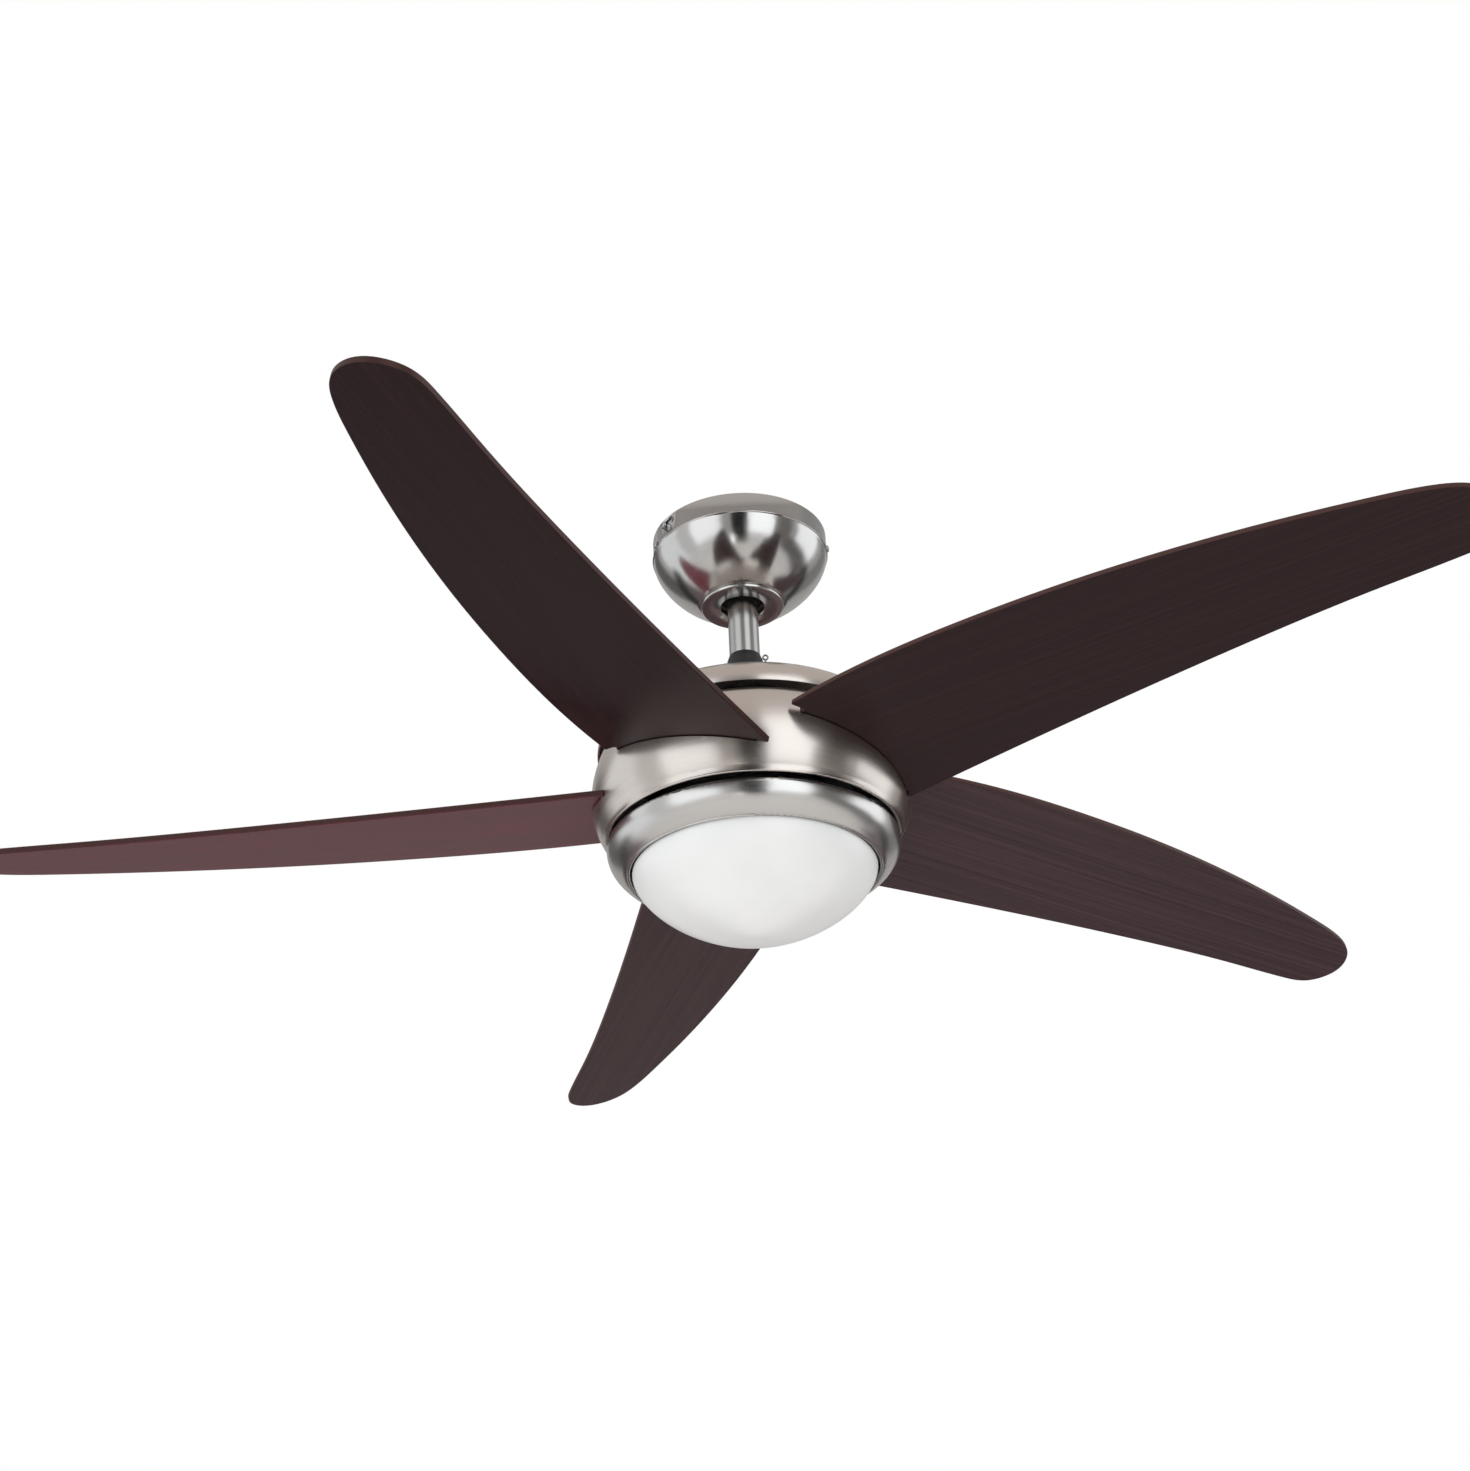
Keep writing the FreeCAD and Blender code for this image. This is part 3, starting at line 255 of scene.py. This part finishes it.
def plain(name, dark, light, rough, metallic=0.0, grit=0.8 * mm, bump=0.15):
    material, tree, shader = newMaterial(name, Metallic=metallic)
    place = add(tree, "ShaderNodeTexCoord")
    fine = add(tree, "ShaderNodeTexNoise", {"Vector": (place, "Object"), "Scale": 1 / grit,
                                            "Detail": mottle["detail"]})
    broad = add(tree, "ShaderNodeTexNoise", {"Vector": (place, "Object"), "Scale": mottle["scale"],
                                             "Detail": mottle["detail"]})
    tone = add(tree, "ShaderNodeMix", {0: mottle["share"], 2: (fine, "Fac"), 3: (broad, "Fac")},
               data_type="FLOAT")
    colour = add(tree, "ShaderNodeValToRGB", {"Fac": (tone, 0)}, [
        (mottle["toneFrom"], linear(dark)), (mottle["toneTo"], linear(light))])
    gloss = add(tree, "ShaderNodeMapRange", {"Value": (broad, "Fac"), "To Min": rough * mottle["glossLow"],
                                             "To Max": rough * mottle["glossHigh"]})
    relief = add(tree, "ShaderNodeBump", {"Height": (fine, "Fac"), "Strength": bump,
                                          "Distance": mottle["reliefDepth"]})
    tree.links.new(colour.outputs[0], shader.inputs["Base Color"])
    tree.links.new(gloss.outputs[0], shader.inputs["Roughness"])
    tree.links.new(relief.outputs[0], shader.inputs["Normal"])
    return material


finishes = {
    "brushed_nickel": satinPlate,
    "polished_nickel": brightPlate,
    # eggshell black, which hides the neck
    "black_steel": plain("matt black painted steel", "#0c0c0d", "#161617", 0.5),
    # bluish grey, slightly dull
    "zinc_steel": plain("zinc plated steel", "#8e9092", "#b4b5b6", 0.3, 1.0),
    # clean, bright and hard
    "bearing_steel": plain("ground bearing steel", "#b6b8ba", "#cfd0d1", 0.12, 1.0),
    "opal_glass": opalGlass(),
    # warm matt white
    "lamp_glass": plain("frosted lamp glass", "#ecebe6", "#f5f4f0", 0.35, bump=0.02),
    # smooth stove enamel
    "white_steel": plain("white enamelled steel", "#dcdcd8", "#e8e8e4", 0.3, bump=0.05),
    # creamy and shiny
    "ceramic_white": plain("glazed lamp holder ceramic", "#d8d4ca", "#e6e2d8", 0.2, bump=0.04),
    # faint spark eroded grain
    "black_plastic": plain("moulded black ABS", "#141416", "#1d1d20", 0.5),
    # slightly yellow and dull
    "white_plastic": plain("moulded white nylon", "#c9c8c2", "#d8d7d0", 0.45),
    # waxy cream
    "nylon": plain("natural nylon", "#c2bba6", "#d0c9b4", 0.4),
    # the strands' coils show as tight ridges
    "copper_wire": plain("enamelled copper wire", "#7a3c1f", "#a9582f", 0.3, 1.0, grit=1.2 * mm, bump=0.6),
    # the stack's edges show as dull grey lines
    "lamination_steel": plain("stacked electrical steel", "#4c4d50", "#67686b", 0.45, 1.0, grit=0.7 * mm,
                              bump=0.5),
    # dull and pebbled
    "cast_alloy": plain("die cast aluminium", "#84868a", "#9b9da0", 0.5, 1.0, grit=1 * mm, bump=0.4),
    # dull rubbery black
    "pvc_sleeve": plain("soft black sleeve", "#101011", "#1a1a1b", 0.6),
}

firstBlade, bladeCount = math.radians(-36), 5
for nodeName, node in frame["nodes"].items():
    last = nodeName.removeprefix("blade_")
    if last.isdigit():
        number = int(last)
        turnedBy = firstBlade + (number - 1) * fullTurn / bladeCount
        finish = wengeVeneer("wenge veneer " + str(number), turnedBy, wenge["paintedBladeLight"][number])
    else:
        finish = finishes[slotOf[nodeName]]
    node.data.materials.clear()
    node.data.materials.append(finish)
print("finishes given to", len(frame["nodes"]), "nodes")


def newPiece(name, mesh, node, finish, edge):
    mesh.shade_smooth()
    mesh.set_sharp_from_angle(angle=math.radians(edge))
    piece = bpy.data.objects.new(name, mesh)
    bpy.context.scene.collection.objects.link(piece)
    mesh.materials.clear()
    mesh.materials.append(finish)
    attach(piece, bodyOf[node])
    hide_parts(node)
    return piece


def mergedMesh(node):
    shape = bmesh.new()
    shape.from_mesh(frame["nodes"][node].data)
    bmesh.ops.remove_doubles(shape, verts=shape.verts, dist=weldDistance)
    return shape


# spun and turned pieces, whose skins are read as one smooth curve; the angle is where an edge stays sharp
smoothPieces = {
    "canopy": (brightPlate, 32), "canopy_cover": (brightPlate, 40), "downrod": (rodPlate, 40),
    "yoke": (finishes["black_steel"], 35), "top_cap": (satinPlate, 32), "rotor_shell": (satinPlate, 32),
    "light_ring": (ringPlate, 32), "light_neck": (finishes["black_steel"], 35),
}
for nodeName, (finish, edge) in smoothPieces.items():
    shape = mergedMesh(nodeName)
    bmesh.ops.recalc_face_normals(shape, faces=shape.faces)
    mesh = bpy.data.meshes.new(nodeName + " skin")
    shape.to_mesh(mesh)
    shape.free()
    newPiece(nodeName + "Skin", mesh, nodeName, finish, edge)
print("smoothed", len(smoothPieces), "turned pieces")


# a tree's own inputs, by name, with the kind of each
def newTree(name, inputs):
    tree = bpy.data.node_groups.new(name, "GeometryNodeTree")
    for label, kind in [("Geometry", "Geometry")] + inputs:
        tree.interface.new_socket(label, in_out="INPUT", socket_type="NodeSocket" + kind)
    tree.interface.new_socket("Geometry", in_out="OUTPUT", socket_type="NodeSocketGeometry")
    return tree, tree.nodes.new("NodeGroupInput")


def treeMesh(name, tree, values, start):
    holder = bpy.data.objects.new(name, start)
    bpy.context.scene.collection.objects.link(holder)
    modifier = holder.modifiers.new(name, "NODES")
    modifier.node_group = tree
    for item in tree.interface.items_tree:
        if item.item_type == "SOCKET" and item.in_out == "INPUT" and item.name in values:
            modifier[item.identifier] = values[item.name]
    seen = holder.evaluated_get(bpy.context.evaluated_depsgraph_get())
    mesh = bpy.data.meshes.new_from_object(seen)
    bpy.data.objects.remove(holder)
    return mesh


def wave(tree, kind, angle, power):
    turn = add(tree, "ShaderNodeMath", {0: angle}, operation=kind)
    floor = add(tree, "ShaderNodeMath", {0: (turn, 0), 1: 0.0}, operation="MAXIMUM")
    return add(tree, "ShaderNodeMath", {0: (floor, 0), 1: power}, operation="POWER")


# a grid rolled round the axis: angle goes once round, and run goes from 0 to 1 up the grid
def rolledGrid(tree, around, rows):
    grid = add(tree, "GeometryNodeMeshGrid", {"Size X": 1.0, "Size Y": 1.0, "Vertices X": around,
                                              "Vertices Y": rows})
    place = add(tree, "GeometryNodeInputPosition")
    split = add(tree, "ShaderNodeSeparateXYZ", {0: (place, 0)})
    angle = add(tree, "ShaderNodeMath", {0: (split, "X"), 1: fullTurn}, operation="MULTIPLY")
    run = add(tree, "ShaderNodeMath", {0: (split, "Y"), 1: 0.5}, operation="ADD")
    return grid, angle, run


def roll(tree, grid, angle, radius, height):
    cosine = add(tree, "ShaderNodeMath", {0: (angle, 0)}, operation="COSINE")
    sine = add(tree, "ShaderNodeMath", {0: (angle, 0)}, operation="SINE")
    x = add(tree, "ShaderNodeMath", {0: (cosine, 0), 1: radius}, operation="MULTIPLY")
    y = add(tree, "ShaderNodeMath", {0: (sine, 0), 1: radius}, operation="MULTIPLY")
    point = add(tree, "ShaderNodeCombineXYZ", {"X": (x, 0), "Y": (y, 0), "Z": height})
    moved = add(tree, "GeometryNodeSetPosition", {"Geometry": (grid, "Mesh"), "Position": (point, 0)})
    # much less than the gap between two rows, so only the seam and the poles close
    return add(tree, "GeometryNodeMergeByDistance", {"Geometry": (moved, 0), "Distance": 0.002 * mm})


# each roundness is the power of a quarter wave: below 1 gives a flatter crown with fuller sides; recessReach,
# recessShare, clearance and rimShare are parts of the head's radius
screw = {"around": 29, "rows": 8, "sideRoundness": 0.8, "crownRoundness": 0.9, "recessReach": 1.1,
         "recessShare": 0.26, "shankSides": 18, "clearance": 0.995, "rimShare": 0.92, "sharpEdge": 40}


# pan heads with a cross recess, one on each point of the mesh given, facing along the point's "facing"
def makeScrewTree():
    tree, given = newTree("pan head screws", [
        ("Head Radius", "Float"), ("Head Height", "Float"), ("Shank Radius", "Float"),
        ("Shank Length", "Float"), ("Recess Width", "Float"), ("Seed", "Int"), ("Material", "Material")])
    grid, angle, run = rolledGrid(tree, screw["around"], screw["rows"])
    # the first row shuts the underside, and the rest is a quarter wave up to the crown
    firstRow = 1 / (screw["rows"] - 1)
    climb = add(tree, "ShaderNodeMapRange", {"Value": (run, 0), "From Min": firstRow, "To Max": fullTurn / 4})
    rim = add(tree, "ShaderNodeMath", {0: (run, 0), 1: firstRow / 2}, operation="GREATER_THAN")
    outward = wave(tree, "COSINE", (climb, 0), screw["sideRoundness"])
    upward = wave(tree, "SINE", (climb, 0), screw["crownRoundness"])
    reach = add(tree, "ShaderNodeMath", {0: (outward, 0), 1: (given, "Head Radius")}, operation="MULTIPLY")
    radius = add(tree, "ShaderNodeMath", {0: (reach, 0), 1: (rim, 0)}, operation="MULTIPLY")
    height = add(tree, "ShaderNodeMath", {0: (upward, 0), 1: (given, "Head Height")}, operation="MULTIPLY")
    head = roll(tree, grid, angle, (radius, 0), (height, 0))
    arm = add(tree, "ShaderNodeMath", {0: (given, "Head Radius"), 1: screw["recessReach"]},
              operation="MULTIPLY")
    bars = []
    for x, y in (((arm, 0), (given, "Recess Width")), ((given, "Recess Width"), (arm, 0))):
        size = add(tree, "ShaderNodeCombineXYZ", {"X": x, "Y": y, "Z": (given, "Head Height")})
        bar = add(tree, "GeometryNodeMeshCube", {"Size": (size, 0)})
        lift = add(tree, "ShaderNodeCombineXYZ", {"Z": (given, "Head Height")})
        bars.append(add(tree, "GeometryNodeTransform", {"Geometry": (bar, "Mesh"), "Translation": (lift, 0)}))
    cut = add(tree, "GeometryNodeMeshBoolean", {"Mesh 1": (head, 0), "Mesh 2": [(bars[0], 0), (bars[1], 0)]},
              operation="DIFFERENCE", solver="EXACT")
    shank = add(tree, "GeometryNodeMeshCylinder", {
        "Vertices": screw["shankSides"], "Radius": (given, "Shank Radius"), "Depth": (given, "Shank Length")})
    half = add(tree, "ShaderNodeMath", {0: (given, "Shank Length"), 1: -0.5}, operation="MULTIPLY")
    down = add(tree, "ShaderNodeCombineXYZ", {"Z": (half, 0)})
    sunk = add(tree, "GeometryNodeTransform", {"Geometry": (shank, "Mesh"), "Translation": (down, 0)})
    whole = add(tree, "GeometryNodeJoinGeometry", {"Geometry": [(cut, "Mesh"), (sunk, 0)]})
    facing = add(tree, "GeometryNodeInputNamedAttribute", {"Name": "facing"}, data_type="FLOAT_VECTOR")
    aim = add(tree, "FunctionNodeAlignRotationToVector", {"Vector": (facing, "Attribute")}, axis="Z")
    # a cross looks the same after a quarter turn, so each turns by less; socket 3 is the upper limit
    spin = add(tree, "FunctionNodeRandomValue", {3: fullTurn / 4, "Seed": (given, "Seed")}, data_type="FLOAT")
    own = add(tree, "ShaderNodeCombineXYZ", {"Z": (spin, 1)})
    turned = add(tree, "FunctionNodeRotateRotation", {"Rotation": (aim, 0), "Rotate By": (own, 0)},
                 rotation_space="LOCAL")
    placed = add(tree, "GeometryNodeInstanceOnPoints", {
        "Points": (given, "Geometry"), "Instance": (whole, 0), "Rotation": (turned, 0)})
    real = add(tree, "GeometryNodeRealizeInstances", {"Geometry": (placed, 0)})
    painted = add(tree, "GeometryNodeSetMaterial", {"Geometry": (real, 0), "Material": (given, "Material")})
    add(tree, "NodeGroupOutput", {"Geometry": (painted, 0)})
    return tree


# where each screw of a node sits: its pieces are found one by one, and each faces out, up or down
def screwSeats(node, faces):
    shape = mergedMesh(node)
    left, seats = set(shape.verts), []
    while left:
        stack, found = [left.pop()], []
        while stack:
            found.append(stack.pop())
            near = {v for edge in found[-1].link_edges for v in edge.verts if v in left}
            left -= near
            stack.extend(near)
        points = [v.co.copy() for v in found]
        low = Vector([min(p[i] for p in points) for i in range(3)])
        high = Vector([max(p[i] for p in points) for i in range(3)])
        middle = (low + high) / 2
        outward = Vector((middle.x, middle.y, 0)).normalized()
        facing = {"up": Vector((0, 0, 1)), "down": Vector((0, 0, -1)), "out": outward}[faces]
        runs = [p.dot(facing) for p in points]
        off = [(p - middle - (p - middle).dot(facing) * facing).length for p in points]
        headRuns = [run for run, far in zip(runs, off) if far > screw["rimShare"] * max(off)]
        seat = middle + (min(headRuns) - middle.dot(facing)) * facing
        seats.append({"seat": seat, "facing": facing, "radius": max(off), "height": max(runs) - min(headRuns),
                      "length": min(headRuns) - min(runs)})
    shape.free()
    return sorted(seats, key=lambda seat: tuple(round(v, 5) for v in seat["seat"]))


screwTree = makeScrewTree()
# way that each group of screws faces, and its shank's radius; the rest is measured from the frame
screwGroups = {
    "canopy_screws": ("out", 2.0 * mm), "ring_screws": ("out", 1.6 * mm), "top_cap_screws": ("up", 2.0 * mm),
    "shell_screws": ("up", 2.0 * mm), "bell_screws": ("up", 2.0 * mm), "pan_screws": ("down", 1.6 * mm),
}
for nodeName, (faces, shank) in screwGroups.items():
    seats = screwSeats(nodeName, faces)
    points = bpy.data.meshes.new(nodeName + " seats")
    points.from_pydata([tuple(seat["seat"]) for seat in seats], [], [])
    facing = points.attributes.new("facing", "FLOAT_VECTOR", "POINT")
    facing.data.foreach_set("vector", [v for seat in seats for v in seat["facing"]])
    first = seats[0]
    mesh = treeMesh(nodeName, screwTree, {
        "Head Radius": first["radius"] * screw["clearance"], "Head Height": first["height"],
        "Shank Radius": shank, "Shank Length": first["length"],
        "Recess Width": first["radius"] * screw["recessShare"], "Seed": len(seats),
        "Material": finishes["zinc_steel"]}, points)
    newPiece(nodeName + "Made", mesh, nodeName, finishes["zinc_steel"], screw["sharpEdge"])
    print(nodeName, len(seats), "screws", len(mesh.polygons), "faces")


# the bowl: a rounded bow (2 would be an ellipse, less is more pointed) turned round the axis, outside, then
# inside
bowl = {"roundness": 1.58, "wall": 3.0 * mm, "neckInset": 2.6 * mm, "depth": 58 * mm, "around": 161,
        "rows": 121, "neckShare": 0.05, "clearance": 0.02 * mm, "sharpEdge": 50}


def makeBowlTree():
    tree, given = newTree("glass bowl", [
        ("Radius", "Float"), ("Depth", "Float"), ("Power", "Float"), ("Wall", "Float"),
        ("Rim Height", "Float"), ("Neck Inset", "Float"), ("Neck Height", "Float"), ("Material", "Material")])
    grid, angle, run = rolledGrid(tree, bowl["around"], bowl["rows"])
    # run goes from the outside's lowest point up to the neck, over its top, and down to the inside's lowest
    signed = add(tree, "ShaderNodeMath", {0: (run, 0), 1: 0.5}, operation="SUBTRACT")
    inner = add(tree, "ShaderNodeMath", {0: (signed, 0), 1: 0.0}, operation="GREATER_THAN")
    fold = add(tree, "ShaderNodeMath", {0: (signed, 0)}, operation="ABSOLUTE")
    # the rows next to the fold, on each side, are the straight neck
    bend = add(tree, "ShaderNodeMapRange", {"Value": (fold, 0), "From Min": bowl["neckShare"],
                                            "From Max": 0.5, "To Max": fullTurn / 4})
    neck = add(tree, "ShaderNodeMapRange", {"Value": (fold, 0), "From Min": bowl["neckShare"],
                                            "From Max": 0.0})
    thin = add(tree, "ShaderNodeMath", {0: (inner, 0), 1: (given, "Wall")}, operation="MULTIPLY")
    inset = add(tree, "ShaderNodeMath", {0: (neck, 0), 1: 0.0}, operation="GREATER_THAN")
    step = add(tree, "ShaderNodeMath", {0: (inset, 0), 1: (given, "Neck Inset")}, operation="MULTIPLY")
    across = add(tree, "ShaderNodeMath", {0: (given, "Radius"), 1: (thin, 0)}, operation="SUBTRACT")
    narrowed = add(tree, "ShaderNodeMath", {0: (across, 0), 1: (step, 0)}, operation="SUBTRACT")
    deep = add(tree, "ShaderNodeMath", {0: (given, "Depth"), 1: (thin, 0)}, operation="SUBTRACT")
    outward = wave(tree, "COSINE", (bend, 0), (given, "Power"))
    downward = wave(tree, "SINE", (bend, 0), (given, "Power"))
    radius = add(tree, "ShaderNodeMath", {0: (outward, 0), 1: (narrowed, 0)}, operation="MULTIPLY")
    drop = add(tree, "ShaderNodeMath", {0: (downward, 0), 1: (deep, 0)}, operation="MULTIPLY")
    rise = add(tree, "ShaderNodeMath", {0: (neck, 0), 1: (given, "Neck Height")}, operation="MULTIPLY")
    low = add(tree, "ShaderNodeMath", {0: (given, "Rim Height"), 1: (drop, 0)}, operation="SUBTRACT")
    height = add(tree, "ShaderNodeMath", {0: (low, 0), 1: (rise, 0)}, operation="ADD")
    skin = roll(tree, grid, angle, (radius, 0), (height, 0))
    real = add(tree, "GeometryNodeRealizeInstances", {"Geometry": (skin, 0)})
    painted = add(tree, "GeometryNodeSetMaterial", {"Geometry": (real, 0), "Material": (given, "Material")})
    add(tree, "NodeGroupOutput", {"Geometry": (painted, 0)})
    return tree


glassLow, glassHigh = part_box("glass_shade")
rimHeight = glassLow[2] + bowl["depth"]
mesh = treeMesh("glass bowl", makeBowlTree(), {
    "Radius": glassHigh[0] - bowl["clearance"], "Depth": bowl["depth"], "Power": 2 / bowl["roundness"],
    "Wall": bowl["wall"], "Rim Height": rimHeight, "Neck Inset": bowl["neckInset"],
    "Neck Height": glassHigh[2] - rimHeight,
    "Material": finishes["opal_glass"]}, bpy.data.meshes.new("empty"))
shape = bmesh.new()
shape.from_mesh(mesh)
bmesh.ops.recalc_face_normals(shape, faces=shape.faces)
shape.to_mesh(mesh)
shape.free()
newPiece("glassBowl", mesh, "glass_shade", finishes["opal_glass"], bowl["sharpEdge"])
print("glass bowl", len(mesh.polygons), "faces")


# the room: a pale, dull floor, which throws a little light up under the fan
floorLook = {"height": -2.3, "radius": 2.3, "sides": 64, "colour": "#f6f5f3", "rough": 0.8}


def makeFloor():
    shape = bmesh.new()
    bmesh.ops.create_circle(shape, cap_ends=True, segments=floorLook["sides"], radius=floorLook["radius"],
                            matrix=Matrix.Translation((0, 0, floorLook["height"])))
    mesh = bpy.data.meshes.new("floor")
    shape.to_mesh(mesh)
    shape.free()
    floor = bpy.data.objects.new("floor", mesh)
    bpy.context.scene.collection.objects.link(floor)
    mesh.materials.append(newMaterial("pale floor", Roughness=floorLook["rough"],
                                      Base_Color=linear(floorLook["colour"]))[0])


# the room's own light, level and from overhead, and the heights in degrees between which they mix
ambient = {"level": (0.46, 0.45, 0.44), "overhead": (0.68, 0.64, 0.61), "from": 32.0, "to": 48.0}
# the white cards and dark gaps round the fan, as it sees them: degrees round (0 is the viewer's side, + to
# the right) and up, half width and half height, how soft the edges are, and the light that comes from there
cards = {
    "lowWall": {"at": (0, -50), "half": (181, 16), "soft": (1, 8), "light": (0.80, 0.79, 0.78)},
    "back": {"at": (180, 12), "half": (66, 36), "soft": (14, 8), "light": (0.50, 0.49, 0.48)},
    "backLow": {"at": (180, -45), "half": (50, 22), "soft": (12, 8), "light": (0.18, 0.13, 0.135)},
    "leftWide": {"at": (-98, 2), "half": (17, 30), "soft": (8, 10), "light": (1.02, 1.06, 1.08)},
    "leftKey": {"at": (-44, 4), "half": (15, 30), "soft": (13, 9), "light": (1.46, 1.51, 1.54)},
    "leftGap": {"at": (-74, 2), "half": (6, 30), "soft": (8, 10), "light": (0.74, 0.75, 0.75)},
    "rightKey": {"at": (28, 5), "half": (15, 31), "soft": (6, 9), "light": (1.70, 1.76, 1.80)},
    "rightFar": {"at": (98, 10), "half": (14, 22), "soft": (9, 10), "light": (1.45, 1.50, 1.53)},
    "rightLow": {"at": (92, -27), "half": (22, 7), "soft": (10, 5), "light": (0.14, 0.13, 0.13)},
    "rightGap": {"at": (60, -4), "half": (7, 24), "soft": (6, 8), "light": (0.20, 0.19, 0.18)},
    "seam": {"at": (2, -13), "half": (8, 33), "soft": (5, 6), "light": (0.0, 0.0, 0.0)},
    "gleam": {"at": (-9, -50), "half": (2, 12), "soft": (2, 6), "light": (2.6, 2.6, 2.6)},
    "leftFlag": {"at": (-138, 0), "half": (7, 24), "soft": (7, 10), "light": (0.15, 0.15, 0.15)},
    "rightFlag": {"at": (138, 0), "half": (6, 24), "soft": (7, 10), "light": (0.28, 0.28, 0.28)},
    "skirting": {"at": (180, -19), "half": (60, 3.5), "soft": (10, 3), "light": (0.03, 0.03, 0.03)},
}


def makeWorld():
    world = bpy.data.worlds.new("studio")
    bpy.context.scene.world = world
    world.use_nodes = True
    tree = world.node_tree
    tree.nodes.clear()
    view = add(tree, "ShaderNodeTexCoord")
    split = add(tree, "ShaderNodeSeparateXYZ", {0: (view, "Generated")})
    front = add(tree, "ShaderNodeMath", {0: (split, "Y"), 1: -1.0}, operation="MULTIPLY")
    turn = add(tree, "ShaderNodeMath", {0: (split, "X"), 1: (front, 0)}, operation="ARCTAN2")
    around = add(tree, "ShaderNodeMath", {0: (turn, 0)}, operation="DEGREES")
    lift = add(tree, "ShaderNodeMath", {0: (split, "Z")}, operation="ARCSINE")
    up = add(tree, "ShaderNodeMath", {0: (lift, 0)}, operation="DEGREES")
    high = add(tree, "ShaderNodeMapRange", {"Value": (up, 0), "From Min": ambient["from"],
                                            "From Max": ambient["to"]}, interpolation_type="SMOOTHSTEP")
    light = add(tree, "ShaderNodeMix", {
        0: (high, 0), 6: ambient["level"] + (1,), 7: ambient["overhead"] + (1,)}, data_type="RGBA")
    for card in cards.values():
        offset = add(tree, "ShaderNodeMath", {0: (around, 0), 1: card["at"][0]}, operation="SUBTRACT")
        wrapped = add(tree, "ShaderNodeMath", {0: (offset, 0), 1: 180.0, 2: -180.0}, operation="WRAP")
        climb = add(tree, "ShaderNodeMath", {0: (up, 0), 1: card["at"][1]}, operation="SUBTRACT")
        inside = []
        for source, half, soft in zip((wrapped, climb), card["half"], card["soft"]):
            away = add(tree, "ShaderNodeMath", {0: (source, 0)}, operation="ABSOLUTE")
            inside.append(add(tree, "ShaderNodeMapRange", {
                "Value": (away, 0), "From Min": float(half), "From Max": float(half + soft), "To Min": 1.0,
                "To Max": 0.0}, interpolation_type="SMOOTHSTEP"))
        share = add(tree, "ShaderNodeMath", {0: (inside[0], 0), 1: (inside[1], 0)}, operation="MULTIPLY")
        light = add(tree, "ShaderNodeMix", {0: (share, 0), 6: (light, 2), 7: card["light"] + (1,)},
                    data_type="RGBA")
    # plain white is what the camera sees behind the fan
    ray = add(tree, "ShaderNodeLightPath")
    shown = add(tree, "ShaderNodeMix", {0: (ray, "Is Camera Ray"), 6: (light, 2), 7: (1, 1, 1, 1)},
                data_type="RGBA")
    sky = add(tree, "ShaderNodeBackground", {"Color": (shown, 2), "Strength": 1.0})
    add(tree, "ShaderNodeOutputWorld", {"Surface": (sky, 0)})


# broad soft lights that only the matt surfaces see, so that they leave no marks in the metal
softBoxAim = (0, 0, -0.3)   # about the middle of the fan
softBoxes = {
    "softBoxLeft": {"place": (-1.5, -1.7, -1.7), "size": (1.4, 1.4), "power": 3.4},
    "softBoxRight": {"place": (1.6, -1.5, -1.6), "size": (1.4, 1.4), "power": 3.0},
    "softBoxTop": {"place": (0.0, -0.3, 1.6), "size": (2.4, 1.6), "power": 45},
}


def makeSoftBoxes():
    for name, box in softBoxes.items():
        light = bpy.data.lights.new(name, "AREA")
        light.shape = "RECTANGLE"
        light.size, light.size_y = box["size"]
        light.energy = box["power"]
        lamp = bpy.data.objects.new(name, light)
        bpy.context.scene.collection.objects.link(lamp)
        lamp.location = box["place"]
        lamp.rotation_euler = (Vector(softBoxAim) - Vector(box["place"])).to_track_quat("-Z", "Y").to_euler()
        lamp.visible_camera = False
        lamp.visible_glossy = False


makeFloor()
makeWorld()
makeSoftBoxes()

# turn, tilt and roll are in degrees; it looks up at the fan from below its front
camera = {"place": (0.0086, -1.8182, -1.2142), "turn": 0.994, "tilt": 29.303, "roll": -2.394, "lens": 61.09,
          "sensor": 36.0, "shift": (0.0094, 0.0004), "farEnd": 60.0}


def makeCamera():
    data = bpy.data.cameras.new("camera")
    data.sensor_fit = "VERTICAL"
    data.sensor_height = camera["sensor"]
    data.lens = camera["lens"]
    data.shift_x, data.shift_y = camera["shift"]
    data.clip_end = camera["farEnd"]
    holder = bpy.data.objects.new("camera", data)
    bpy.context.scene.collection.objects.link(holder)
    turn = Matrix.Rotation(math.radians(camera["turn"]), 4, "Z")
    tilt = Matrix.Rotation(math.radians(90 + camera["tilt"]), 4, "X")
    roll = Matrix.Rotation(math.radians(camera["roll"]), 4, "Z")
    holder.matrix_world = Matrix.Translation(camera["place"]) @ turn @ tilt @ roll
    bpy.context.scene.camera = holder


makeCamera()
bpy.context.scene.view_settings.view_transform = "Standard"
print("stage and camera are in place")
